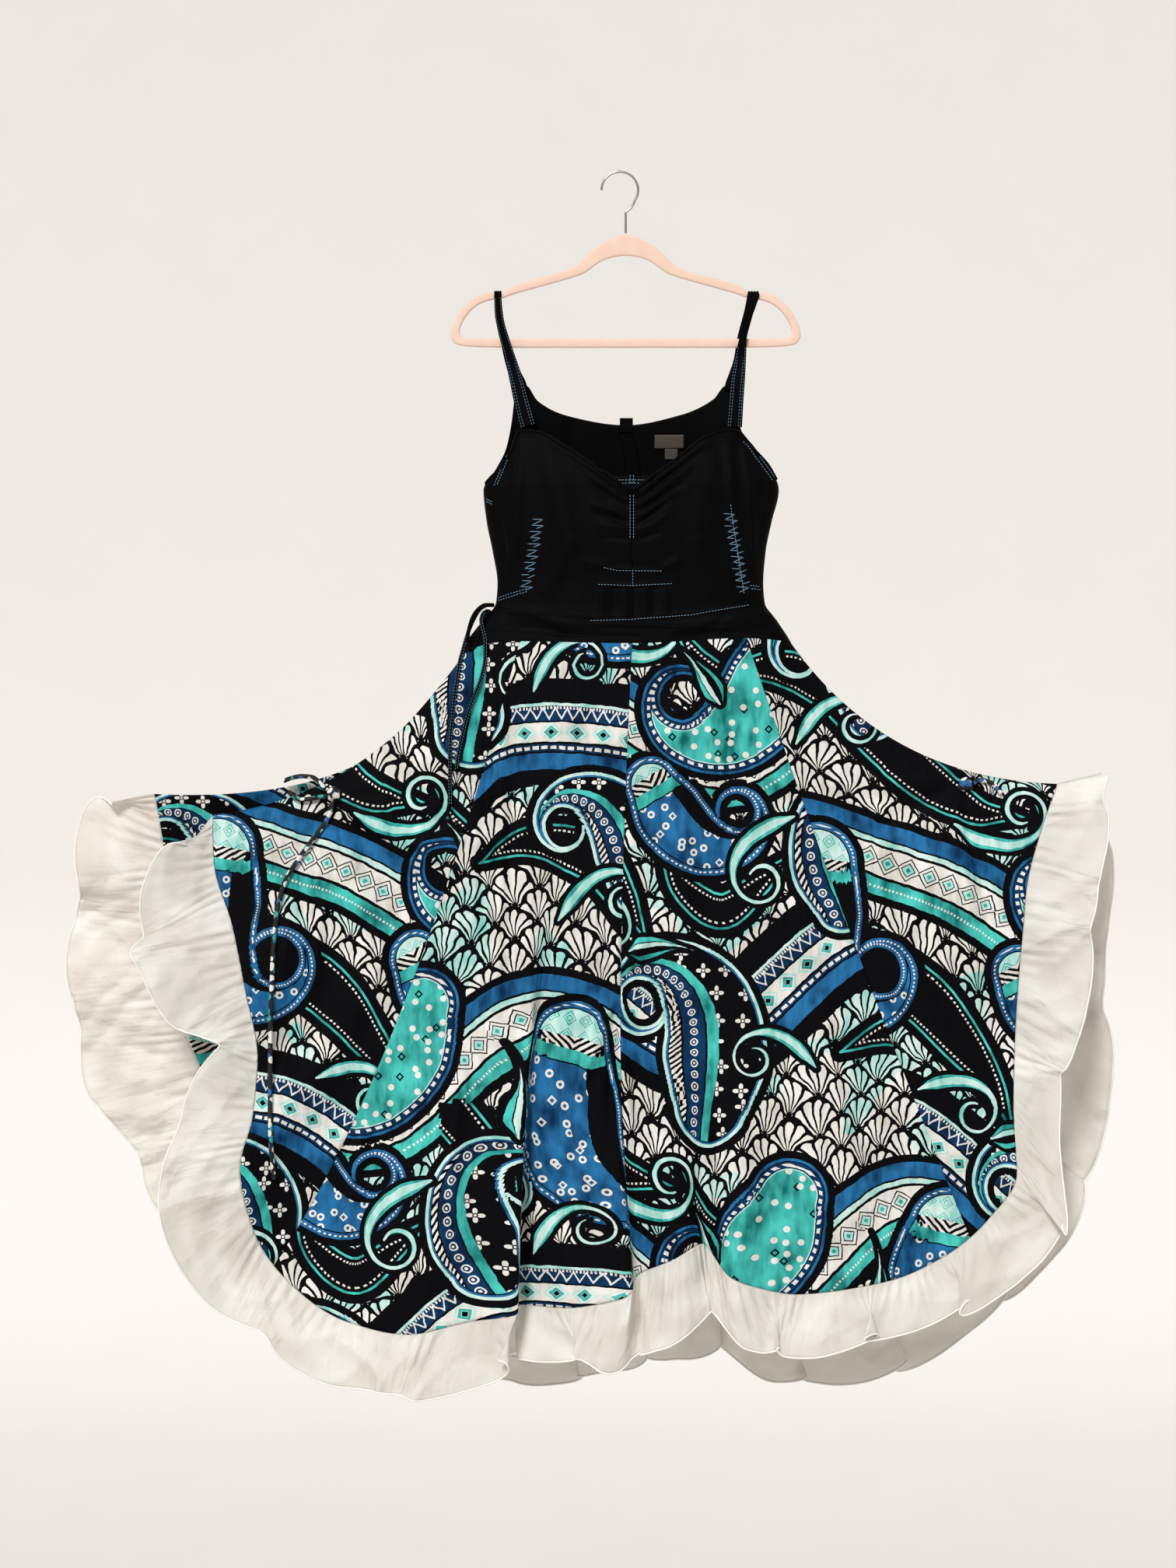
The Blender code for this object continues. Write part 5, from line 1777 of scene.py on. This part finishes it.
@dataclass(frozen=True)
class BodySide:
    """One face of the bodice and yoke: its panels and creases."""

    face: Face
    top: tuple
    waist: tuple
    foot: tuple
    creases: tuple
    panels: tuple
    depth: float = 1.5
    spacing: float = 0.9

    def height(self, turn: Array, drop: Array) -> Array:
        """Heights in millimetres at drops down the body.

        Args:
            turn: angles in degrees.
            drop: 0 at the top edge, 1 at the waist and 2 at the skirt.

        Returns:
            The heights.
        """
        high, low = edge_at(self.top, turn), edge_at(self.waist, turn)
        foot = edge_at(self.foot, turn)
        return high + (low - high) * np.minimum(drop, 1.0) + (foot - low) * np.maximum(drop - 1, 0.0)

    def surface(self, turn: Array, z: Array, lift: float) -> Array:
        """Points of the creased cloth at turns and heights, lifted off the form in metres.

        Args:
            turn: angles in degrees.
            z: heights in millimetres.
            lift: distance off the form.

        Returns:
            The points in metres.
        """
        points = FORM.point(turn, z, self.face)
        out = FORM.normal(turn, z, self.face)
        folds = crease_height(points[..., 0] / MM, points[..., 2] / MM, self.creases)
        calm = np.sin(np.radians(np.clip(turn, 0.0, 180.0))) ** 0.5
        return points + out * (lift + self.depth * folds * calm)[..., None]

    def panel(
        self, name: str, turns: tuple, drops: tuple, cloth: Material,
        wall: float = COTTON_WALL, lift: float = 0.0,
    ) -> None:
        """Build one panel.

        Args:
            name: the node that the panel stands for.
            turns: the first and last angle of the panel.
            drops: where it starts and ends downwards.
            cloth: its material.
            wall: its thickness.
            lift: distance out of the form.
        """
        cols = max(8, int((turns[1] - turns[0]) / self.spacing))
        rows = max(10, int((drops[1] - drops[0]) * 92))
        turn, drop = np.meshgrid(
            np.linspace(turns[0], turns[1], cols + 1), np.linspace(drops[0], drops[1], rows + 1)
        )
        rise = lift * soften(turn, turns) * ramp((drops[1] - drop) / (0.3 * (drops[1] - drops[0])))
        points = self.surface(turn, self.height(turn, drop), rise)
        sheet = lay_cloth("cloth_" + name, points, self.face)
        finish_sheet(sheet, wall, "black_cotton", cloth, name)

    def build(self, cloth: Material) -> None:
        """Build every panel of this face and its yoke.

        Args:
            cloth: their material.
        """
        for name, turns, wall in self.panels:
            self.panel(name, turns, (0.0, 1.0), cloth, wall)
        self.panel("yoke_" + self.face.value, (0.0, 180.0), (1.0, 2.0), cloth)

    def edge(self, turns: tuple, lift: float) -> Array:
        """Route just above the top edge, between two angles.

        Args:
            turns: the first and last angle.
            lift: how far above the edge.

        Returns:
            Points in metres.
        """
        turn = np.linspace(*turns, 90)
        z = edge_at(self.top, turn)
        points = self.surface(turn, z, 0.0)
        along = np.gradient(points, axis=0)
        up = unit(np.cross(FORM.normal(turn, z, self.face), along)) * -self.face.outward
        return points + up * lift

    def neck_edge(self, turns: tuple, ends: tuple) -> Array:
        """Route of a rolled edge: along the top, then over the insert to the middle of the neck.

        Args:
            turns: the first and last angle along the top.
            ends: places over the insert as x and z.

        Returns:
            Points in metres.
        """
        route = self.edge(turns, 0.8 * MM)
        over = np.array([self.place(x, z, 3.4 * MM)[0] for x, z in ends])
        rows = [*route, *over] if ends[0][0] < ends[-1][0] else [*over[::-1], *route]
        return even_route(np.array(rows), 150)

    def place(self, x: float, z: float, lift: float) -> tuple[Vector, Vector]:
        """Point on the creased cloth over a place seen from the front, and its normal.

        Args:
            x: place across in millimetres.
            z: height in millimetres.
            lift: distance off the cloth in metres.

        Returns:
            The point in metres and the normal.
        """
        turn = FORM.turn(x, z)
        out = FORM.normal(turn, z, self.face)
        lift += self.depth * float(crease_height(np.array(x), np.array(z), self.creases))
        return Vector(FORM.point(turn, z, self.face) + out * lift), Vector(out)


FRONT_BODY = BodySide(
    Face.FRONT, FRONT_TOP, FRONT_WAIST, FRONT_SKIRT_TOP, BODICE_CREASES,
    (
        ("side_front_left", (0.0, 28.0), COTTON_WALL),
        ("bodice_front_left", (28.0, 91.0), COTTON_WALL),
        ("bodice_front_right", (91.0, 156.0), COTTON_WALL),
        ("side_front_right", (156.0, 180.0), COTTON_WALL),
    ),
)
BACK_BODY = BodySide(
    Face.BACK, BACK_TOP, BACK_WAIST, BACK_SKIRT_TOP, BODICE_BACK_CREASES,
    (
        ("bodice_back_left", (0.0, 87.0), COTTON_WALL),
        ("back_placket", (87.0, 93.0), 2 * COTTON_WALL),
        ("bodice_back_right", (93.0, 180.0), COTTON_WALL),
    ),
)


@dataclass(frozen=True)
class Patch:
    """Small flat piece on the inside of the back, with its sides and edges in millimetres."""

    name: str
    slot: str
    sides: tuple[float, float]
    edges: tuple[float, float]
    depth: float = 1.8 * MM
    wall: float = 1.0 * MM

    def build(self, finish: Material) -> None:
        """Build the piece, as deep inside the form as its depth says.

        Args:
            finish: its material.
        """
        x, z = np.meshgrid(np.linspace(*self.sides, 19), np.linspace(*self.edges, 15))
        turn = FORM.turn(x, z)
        points = FORM.point(turn, z, Face.BACK) - FORM.normal(turn, z, Face.BACK) * self.depth
        sheet = lay_cloth("cloth_" + self.name, points, Face.BACK)
        finish_sheet(sheet, self.wall, self.slot, finish, self.name)


PATCHES = (
    Patch("back_loop", "black_cotton", (0, 17), (-313, -331), 2.1 * MM, 1.2 * MM),
    Patch("neck_label", "label_satin", (45, 83), (-334.5, -351.5)),
    Patch("size_tag", "label_satin", (58.5, 75), (-352.2, -365.5)),
)


# Rolled edges of the front: node, turns along the top, and places over the insert
NECK_EDGES = (
    ("binding_front_left", (6, 76), ((-20, -391), (-7, -401), (4, -408), (13, -412))),
    ("binding_front_right", (99, 174), ((40, -396), (31, -403), (22, -409), (12, -413))),
)


@dataclass(frozen=True)
class Strap:
    """Flat shoulder strap over the hanger, bunched where it lies in the notch."""

    name: str
    rows: tuple
    sewn_below: float
    step: float = 3.0 * MM
    columns: int = 14

    def stations(self) -> tuple[Array, Array, Array, Array]:
        """Read the strap's rows at even stations.

        Returns:
            Middle, width, direction across and direction out at each.
        """
        table = np.array(self.rows, dtype=float) * MM
        places = distances(table[:, :3])
        at = np.unique(np.concatenate(
            [np.linspace(a, b, max(3, int((b - a) / self.step)) + 1) for a, b in zip(places, places[1:])]
        ))
        read = read_rows(places, table, at)
        middle = read[:, :3]
        along = unit(np.gradient(middle, axis=0))
        across = unit(np.array((1.0, 0.0, 0.0)) - along * along[:, :1])
        return middle, read[:, 3], across, np.cross(along, across)

    def surface(self, share: Array, lift: float) -> Array:
        """Points across the strap at every station.

        Args:
            share: places across, from -1 to 1.
            lift: distance off the strap's middle surface in metres.

        Returns:
            Points in rows along the strap.
        """
        middle, width, across, out = self.stations()
        bunch = np.clip((20 * MM - width) / (10 * MM), 0.0, 1.0)[:, None]
        share = share[None, :]
        roll = bunch * 1.1 * MM * (np.cos(share * 3.4 * np.pi) - 0.6)
        side = middle[:, None] + across[:, None] * (share * width[:, None] / 2)[..., None]
        return side + out[:, None] * (roll + lift)[..., None]

    def build(self, cloth: Material) -> None:
        """Build the strap's band.

        Args:
            cloth: its material.
        """
        points = self.surface(np.linspace(-1.0, 1.0, self.columns + 1), 0.0)
        sheet = lay_cloth("cloth_" + self.name, points, Face.FRONT)
        finish_sheet(sheet, STRAP_WALL, "black_cotton", cloth, self.name)

    def seams(self) -> list[tuple[Array, Array]]:
        """Lay the four rows of stitches.

        Returns:
            Each row's points and normals.
        """
        middle, _, _, out = self.stations()
        rows = self.surface(np.array((-0.8, -0.5, 0.5, 0.8)), -STRAP_WALL / 2 - 0.1 * MM)
        low = middle[:, 2] < self.sewn_below
        parts = [low & (middle[:, 1] < 0), low & (middle[:, 1] > 0)]
        return [(rows[part, k], -out[part]) for part in parts for k in range(4)]


def soften(value: Array, ends: tuple) -> Array:
    """1 between two ends, and a soft fall to 0 at each."""
    share = (value - ends[0]) / (ends[1] - ends[0])
    return ramp(share / 0.2) * ramp((1.0 - share) / 0.2)


@dataclass(frozen=True)
class Tie:
    """Narrow sewn tie that hangs free from one end."""

    name: str
    rows: tuple
    diameter: float
    slot: str
    lay: str
    points: int = 64

    def build(self, finish: Material) -> None:
        """Args:
            finish: its material.
        """
        route = even_route(np.array(self.rows) * MM, self.points)
        wire = draw_wire("cord_" + self.name, route, self.diameter / 2)
        settle(wire, self.slot, finish, self.name)

    def seams(self) -> list[tuple[Array, Array]]:
        """Lay two rows of stitches along the tie's front.

        Returns:
            Each row's points and normals.
        """
        route = even_route(np.array(self.rows) * MM, self.points * 3)
        along = unit(np.gradient(route, axis=0))
        side = unit(np.cross(along, np.array((0.0, 1.0, 0.0))))
        front = np.cross(side, along)
        front *= -np.sign(front[:, 1:2])
        rows = []
        for share in (-0.55, 0.55):
            out = unit(side * share + front * 0.84)
            rows.append((route + out * (self.diameter / 2 + 0.1 * MM), out))
        return rows


def add_item(name: str, data: bpy.types.ID) -> Object:
    """Add an object to the scene for a mesh, a curve, a light or a camera.

    Args:
        name: the object's name.
        data: what it shows.

    Returns:
        The object.
    """
    item = bpy.data.objects.new(name, data)
    bpy.context.collection.objects.link(item)
    return item


def draw_wire(name: str, route: Array, radius: float) -> Object:
    """Round wire or cord along a route, as a curve with closed ends.

    Args:
        name: the piece's name.
        route: points along its middle, in metres.
        radius: half of its thickness.

    Returns:
        The curve.
    """
    curve = bpy.data.curves.new(name, "CURVE")
    curve.dimensions = "3D"
    curve.bevel_depth = radius
    curve.bevel_resolution = 3
    curve.use_fill_caps = True
    spline = curve.splines.new("POLY")
    spline.points.add(len(route) - 1)
    spline.points.foreach_set("co", np.insert(route, 3, 1.0, axis=1).reshape(-1))
    return add_item(name, curve)


TIES = (
    Tie("waist_tie_outer", WAIST_TIE_OUTER, 5.0 * MM, "black_cotton", "hanging"),
    Tie("waist_tie_inner", WAIST_TIE_INNER, 5.0 * MM, "black_cotton", "hanging"),
    Tie("bow_left_upper", BOW_LEFT_UPPER, 6.0 * MM, "printed_cotton", "loose"),
    Tie("bow_left_lower", BOW_LEFT_LOWER, 6.0 * MM, "printed_cotton", "loose"),
    Tie("bow_left_hanging", BOW_LEFT_HANGING, 6.0 * MM, "printed_cotton", "hanging"),
    Tie("bow_right_tail", BOW_RIGHT_TAIL, 6.0 * MM, "printed_cotton", "loose"),
)


@dataclass(frozen=True)
class Knot:
    """Small tied knot: a rounded lump under two turns of the tie."""

    name: str
    centre: tuple[float, float, float]
    radii: tuple[float, float, float] = (9.0, 6.0, 8.0)

    def build(self, finish: Material) -> None:
        """Build the lump and its two turns as one mesh.

        Args:
            finish: its material.
        """
        deselect()
        bpy.ops.mesh.primitive_uv_sphere_add(segments=40, ring_count=24, radius=1.0)
        lump = bpy.context.object
        parts = [lump]
        for tilt, shift in ((0.35, -0.25), (-0.5, 0.3)):
            bpy.ops.mesh.primitive_torus_add(
                major_radius=0.92, minor_radius=0.26, major_segments=44, minor_segments=12,
                rotation=(0.0, math.pi / 2 + tilt, 0.2), location=(shift, 0.0, 0.0),
            )
            parts.append(bpy.context.object)
        for part in parts:
            part.select_set(True)
        bpy.context.view_layer.objects.active = lump
        bpy.ops.object.transform_apply(location=True, rotation=True, scale=True)
        bpy.ops.object.join()
        lump.name = lump.data.name = "tied_" + self.name
        for vertex in lump.data.vertices:
            vertex.co = (vertex.co * Vector(self.radii) + Vector(self.centre)) * MM
        lump.data.shade_smooth()
        settle(lump, "printed_cotton", finish, self.name)


@dataclass(frozen=True)
class Needlework:
    """Rows of stitches: short rounded runs of thread lying on the cloth."""

    stitch: float = 2.8 * MM
    pitch: float = 4.0 * MM
    radius: float = 0.36 * MM
    sides: int = 5

    def sew(self, name: str, slot: str, routes: list, thread: Material) -> None:
        """Sew rows of stitches as one piece.

        Args:
            name: the piece's name.
            slot: the material slot of the cloth it is sewn in.
            routes: for each row, its points and the cloth's normals there.
            thread: the thread's material.
        """
        vertices, faces = [], []
        for points, normals in routes:
            points, normals = np.asarray(points), np.asarray(normals)
            places = distances(points)
            long = places[-1]
            run = self.stitch if long > self.stitch * 1.6 else long
            for start in np.arange(0.0, long - run + 1e-6, self.pitch):
                ends = [self.read(places, points, start + run * k) for k in (0, 0.22, 0.78, 1)]
                out = unit(self.read(places, normals, start + run / 2))
                self.add(vertices, faces, ends, out)
        deselect()
        bpy.ops.mesh.primitive_uv_sphere_add(segments=8, ring_count=4, radius=self.radius)
        settle(reshape(name, np.array(vertices), faces), slot, thread)

    def read(self, places: Array, values: Array, at: float) -> Array:
        """Vector at a distance along a row."""
        return np.array([np.interp(at, places, values[:, axis]) for axis in range(3)])

    def add(self, vertices: list, faces: list, ends: list, out: Array) -> None:
        """Add one stitch: two tips and two rings between them.

        Args:
            vertices: the points so far.
            faces: the faces so far.
            ends: four places along the stitch.
            out: direction out of the cloth.
        """
        side = np.cross(out, unit(ends[3] - ends[0]))
        angle = np.arange(self.sides)[:, None] * 2 * np.pi / self.sides
        ring = (side * np.cos(angle) + out * np.sin(angle)) * self.radius
        tip = len(vertices)
        vertices += [ends[0], *(ends[1] + ring), *(ends[2] + ring), ends[3]]
        last = len(vertices) - 1
        for k in range(self.sides):
            a, b = tip + 1 + k, tip + 1 + (k + 1) % self.sides
            c, d = a + self.sides, b + self.sides
            faces += [(tip, b, a), (a, b, d, c), (c, d, last)]


def row_on(side: BodySide, *stops: tuple[float, ...]) -> tuple[list, list]:
    """Row of stitches on the bodice through places given as x, z and any extra lift in millimetres.

    Args:
        side: the face of the bodice.
        stops: the places.

    Returns:
        Points along the row, and the normals there.
    """
    points, normals = [], []
    stops = [(*stop, 0.0)[:3] for stop in stops]
    for (x1, z1, lift1), (x2, z2, lift2) in zip(stops, stops[1:]):
        count = max(2, int(math.hypot(x2 - x1, z2 - z1) / 2))
        for t in np.linspace(0.0, 1.0, count + 1):
            lift = COTTON_WALL / 2 + (0.2 + lift1 + (lift2 - lift1) * t) * MM
            point, out = side.place(x1 + (x2 - x1) * t, z1 + (z2 - z1) * t, lift)
            points.append(tuple(point))
            normals.append(tuple(out))
    return points, normals


def zigzag(side: BodySide, start: tuple, end: tuple, reach: float, count: int) -> list:
    """Zigzag between two places, as one row for each of its long stitches.

    Args:
        side: the face of the bodice.
        start: the zigzag's first place.
        end: its last place.
        reach: how far it swings to each side.
        count: its whole swings.

    Returns:
        The rows of stitches.
    """
    stops = []
    for k in range(2 * count + 1):
        t = k / (2 * count)
        swing = (reach if k % 2 else -reach) * (0.85 + 0.15 * math.sin(5.0 * k))
        lean = 1.6 if k % 2 else -1.6
        x, z = start[0] + (end[0] - start[0]) * t, start[1] + (end[1] - start[1]) * t
        stops.append((x + swing, z + lean))
    return [row_on(side, *pair) for pair in zip(stops, stops[1:])]


class Stitching:
    """The dress's visible rows of pale blue stitches.

    A pair gives both ends of its first row, as x, z and any extra lift, and then the shift to its
    second row. A single gives the places that its row runs through.
    """

    front_pairs = (
        ((12.4, -419), (12.4, -476), 4.4, 0),
        ((12.4, -394, 1.8), (12.4, -407, 1.8), 4.4, 0),
        ((-6, -400.4, 1.8), (34, -400.4, 1.8), 0, -4.0),
        ((-156, -547), (-117, -536), 0, -3.6),
        ((165, -532), (179, -533), 2, -4),
        ((162, -344), (201, -396), -4, -3),
        ((-161, -404), (-144, -362), 4, 1),
        ((-171, -420), (-163, -425), 0, -3.2),
    )
    front_singles = (
        ((-21, -510.5), (-4, -514.5), (56, -515)),
        ((-28, -532), (15, -533.5), (66, -531)),
        ((16, -513), (16, -536)),
        ((140, -430), (159, -546)),
        ((-38, -578), (12, -577), (90, -571), (165, -557)),
    )
    back_pairs = (
        ((1, -322), (1, -556), -4, 0),
        ((18, -322), (18, -556), 4, 0),
        ((-140, -552), (150, -552), 0, -4),
    )

    def build(self, thread: Material) -> None:
        """Sew the bodice's rows, and those of the straps and waist ties.

        Args:
            thread: its material.
        """
        needle = Needlework()
        front = self.doubled(FRONT_BODY, self.front_pairs)
        front += [row_on(FRONT_BODY, *stops) for stops in self.front_singles]
        needle.sew("stitches_front", "black_cotton", front, thread)
        long_stitch = Needlework(12 * MM, 40 * MM, 0.34 * MM)
        zigs = zigzag(FRONT_BODY, (-104, -447), (-121, -540), 10, 12)
        zigs += zigzag(FRONT_BODY, (139, -440), (158, -540), 10, 13)
        long_stitch.sew("stitches_zigzag", "black_cotton", zigs, thread)
        back = self.doubled(BACK_BODY, self.back_pairs)
        needle.sew("stitches_back", "black_cotton", back, thread)
        fine = Needlework(radius=0.22 * MM)
        for piece in (*STRAPS, *TIES[:2]):
            fine.sew("stitches_" + piece.name, "black_cotton", piece.seams(), thread)

    def doubled(self, side: BodySide, pairs: tuple) -> list:
        """Lay both rows of each pair.

        Args:
            side: the face of the bodice.
            pairs: its pairs.

        Returns:
            The rows.
        """
        rows = []
        for start, end, dx, dz in pairs:
            moved = [(x + dx, z + dz, *rest) for x, z, *rest in (start, end)]
            rows += [row_on(side, start, end), row_on(side, *moved)]
        return rows


STRAPS = (
    Strap("strap_left", LEFT_STRAP, -158 * MM),
    Strap("strap_right", RIGHT_STRAP, -222 * MM),
)


@dataclass(frozen=True)
class Hanger:
    """Slim moulded hanger with its flocked skin, and the wire hook screwed into it."""

    middle: float = 7.5 * MM
    wire: float = 3.2 * MM
    hook_radius: float = 23.5 * MM
    hook_turns: tuple[float, float] = (168.0, -28.0)
    lip: tuple[float, float] = (-0.9 * MM, -5.0 * MM)
    neck: float = -52.0 * MM
    neck_bend: float = 2.0 * MM
    foot: float = -77.6 * MM

    def build(self, velvet: Material, steel: Material) -> None:
        """Build the body and the hook."""
        self.build_body(velvet)
        self.build_hook(steel)

    def build_body(self, velvet: Material) -> None:
        """Soften the moulded body from its own CAD form.

        Args:
            velvet: its material.
        """
        deselect()
        body = add_item("flocked_hanger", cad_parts["hanger_body"].data.copy())
        body.select_set(True)
        bpy.context.view_layer.objects.active = body
        bpy.ops.object.mode_set(mode="EDIT")
        bpy.ops.mesh.select_all(action="SELECT")
        bpy.ops.mesh.remove_doubles(threshold=0.00002)
        bpy.ops.mesh.tris_convert_to_quads(face_threshold=1.2, shape_threshold=1.2)
        bpy.ops.object.mode_set(mode="OBJECT")
        apply_modifier(body, "SUBSURF", levels=2)
        body.data.shade_smooth()
        settle(body, "velvet", velvet, "hanger_body")

    def build_hook(self, steel: Material) -> None:
        """Bend the wire: a short lip, the round of the hook and the stem.

        Args:
            steel: its material.
        """
        angle = np.radians(np.linspace(*self.hook_turns, 40))
        x = self.hook_radius * np.cos(angle)
        z = self.wire / 2 + self.hook_radius * (np.sin(angle) - 1.0)
        bend_x = x[-1] * 0.4 + self.middle * 0.6 + self.neck_bend
        bend_z = z[-1] * 0.4 + self.neck * 0.6
        x = [x[0] + self.lip[0], *x, bend_x, self.middle, self.middle]
        z = [z[0] + self.lip[1], *z, bend_z, self.neck, self.foot]
        route = even_route(np.stack((x, np.zeros(len(x)), z), axis=-1), 150)
        wire = draw_wire("wire_hook", route, self.wire / 2)
        settle(wire, "wire", steel, "hanger_hook")


class Studio:
    """Plain pale studio: sweep, soft lights and the camera of the photograph."""

    camera_place = (-0.041, -3.2, -0.786)
    lens = 57.1
    floor = -3.2
    half_width = 14.0
    front = -8.0
    bend_start = 6.0
    bend = 2.0
    wall_height = 6.0

    def build(self) -> None:
        """Set up the sweep, the lights, the sky and the camera."""
        bpy.context.scene.view_settings.view_transform = "Standard"
        self.build_sweep()
        self.add_sun("key", (0.24, 0.68, -0.64), 14.0, 2.6)
        self.add_sun("back", (-0.35, -0.85, -0.4), 40.0, 1.4)
        self.build_sky()
        self.build_camera()

    def build_sweep(self) -> None:
        """Floor that curves up to a wall behind the dress."""
        deselect()
        bpy.ops.mesh.primitive_grid_add(x_subdivisions=1, y_subdivisions=40, size=1.0)
        sweep = bpy.context.object
        sweep.name = sweep.data.name = "studio_sweep"
        rows = len(sweep.data.vertices) // 2
        for index, vertex in enumerate(sweep.data.vertices):
            t = (index // 2) / (rows - 1)
            y, z = self.sweep_at(t)
            vertex.co = Vector((self.half_width if index % 2 else -self.half_width, y, z))
        sweep.data.shade_smooth()
        material, shader, place = start_material("studio_paper", Roughness=0.9)
        feed(shader, {"Base Color": layers("#E4E0DB", (lumps(place, 0.4), "#E7E3DE"))})
        sweep.data.materials.append(material)

    def sweep_at(self, t: float) -> tuple[float, float]:
        """Profile of the sweep as y and z, from the front edge to the top of the wall.

        Args:
            t: place from 0 to 1 along the profile.

        Returns:
            The place in metres.
        """
        if t < 0.5:
            return self.front + t / 0.5 * (self.bend_start - self.front), self.floor
        if t < 0.9:
            angle = (t - 0.5) / 0.4 * math.pi / 2
            rise = self.floor + self.bend * (1 - math.cos(angle))
            return self.bend_start + self.bend * math.sin(angle), rise
        top = self.floor + self.bend + (t - 0.9) / 0.1 * self.wall_height
        return self.bend_start + self.bend, top

    def add_sun(self, name: str, way: tuple, spread: float, power: float) -> None:
        """Add a soft even light from far off that shines one way.

        Args:
            name: the light's name.
            way: the direction that it shines.
            spread: its angle in degrees.
            power: its strength.
        """
        data = bpy.data.lights.new(name, "SUN")
        data.angle = math.radians(spread)
        data.energy = power
        lamp = add_item(name, data)
        lamp.location = Vector(way) * -4.0
        lamp.rotation_euler = Vector(way).to_track_quat("-Z", "Y").to_euler()

    def build_sky(self) -> None:
        """Even pale light from all round."""
        world = bpy.data.worlds.new("studio_sky")
        world.use_nodes = True
        feed(world.node_tree.nodes["Background"], {"Color": "#F2F1F0", "Strength": 0.38})
        bpy.context.scene.world = world

    def build_camera(self) -> None:
        """Camera at the photograph's angle."""
        data = bpy.data.cameras.new("camera")
        data.sensor_fit = "VERTICAL"
        data.sensor_height = 36.0
        data.lens = self.lens
        camera = add_item("camera", data)
        camera.location = self.camera_place
        camera.rotation_euler = (math.pi / 2, 0.0, 0.0)
        bpy.context.scene.camera = camera


def main() -> None:
    """Build the looks of the dress in order, then the studio."""
    logging.basicConfig(level=logging.INFO, format="%(message)s")
    velvet, steel = VelvetFlock().make(), DrawnWire().make()
    poplin, batik, voile = BlackPoplin().make(), BatikCotton().make(), SilkVoile().make()
    blue = Thread("blue_thread", "#9CC4DE", "#5F94B8").make()
    ivory = Thread("ivory_rolled_hem", "#FFFDF9", "#F4EFE6").make()
    satin, ribbon = WovenSatin().make(), PrintedTie().make()
    Hanger().build(velvet, steel)
    BACK_BODY.build(poplin)
    FRONT_BODY.build(poplin)
    FRONT_BODY.panel("centre_insert", (81.0, 98.0), (0.0, 1 / 7), poplin, lift=1.5 * MM)
    for patch in PATCHES:
        patch.build(poplin if patch.slot == "black_cotton" else satin)
    for name, turns, ends in NECK_EDGES:
        tube = sweep_tube("rolled_" + name, FRONT_BODY.neck_edge(turns, ends), ROLL_RADIUS, 12)
        settle(tube, "black_cotton", poplin, name)
    for strap in STRAPS:
        strap.build(poplin)
    design = PrintLayout.drawn()
    # The back ruffle wears a copy of the same voile in lighter, pinker colours. This is painted light: the
    # copy is lifted to make up for the light the back ruffle lacks, and tinted with the pink of painted
    # shade.
    shaded = SilkVoile("voile_back_painted_lighter", "#FFFDF7", "#F1E7DF").make()
    for skirt, waves, cloth in ((BACK_SKIRT, 31, shaded), (FRONT_SKIRT, 33, voile)):
        skirt.build(batik, design)
        Ruffle(skirt, waves).build(cloth, ivory)
    for tie in TIES:
        tie.build(poplin if tie.slot == "black_cotton" else ribbon)
    loop = sweep_tube("waist_tie_loop", even_route(np.array(WAIST_LOOP) * MM, 70), LOOP_RADIUS, 12)
    settle(loop, "black_cotton", poplin)
    Knot("knot_left", (-366.0, -20.0, -798.0)).build(ribbon)
    Knot("knot_right", (442.0, -17.4, -786.0)).build(ribbon)
    Stitching().build(blue)
    Studio().build()


if __name__ == "__main__":
    main()
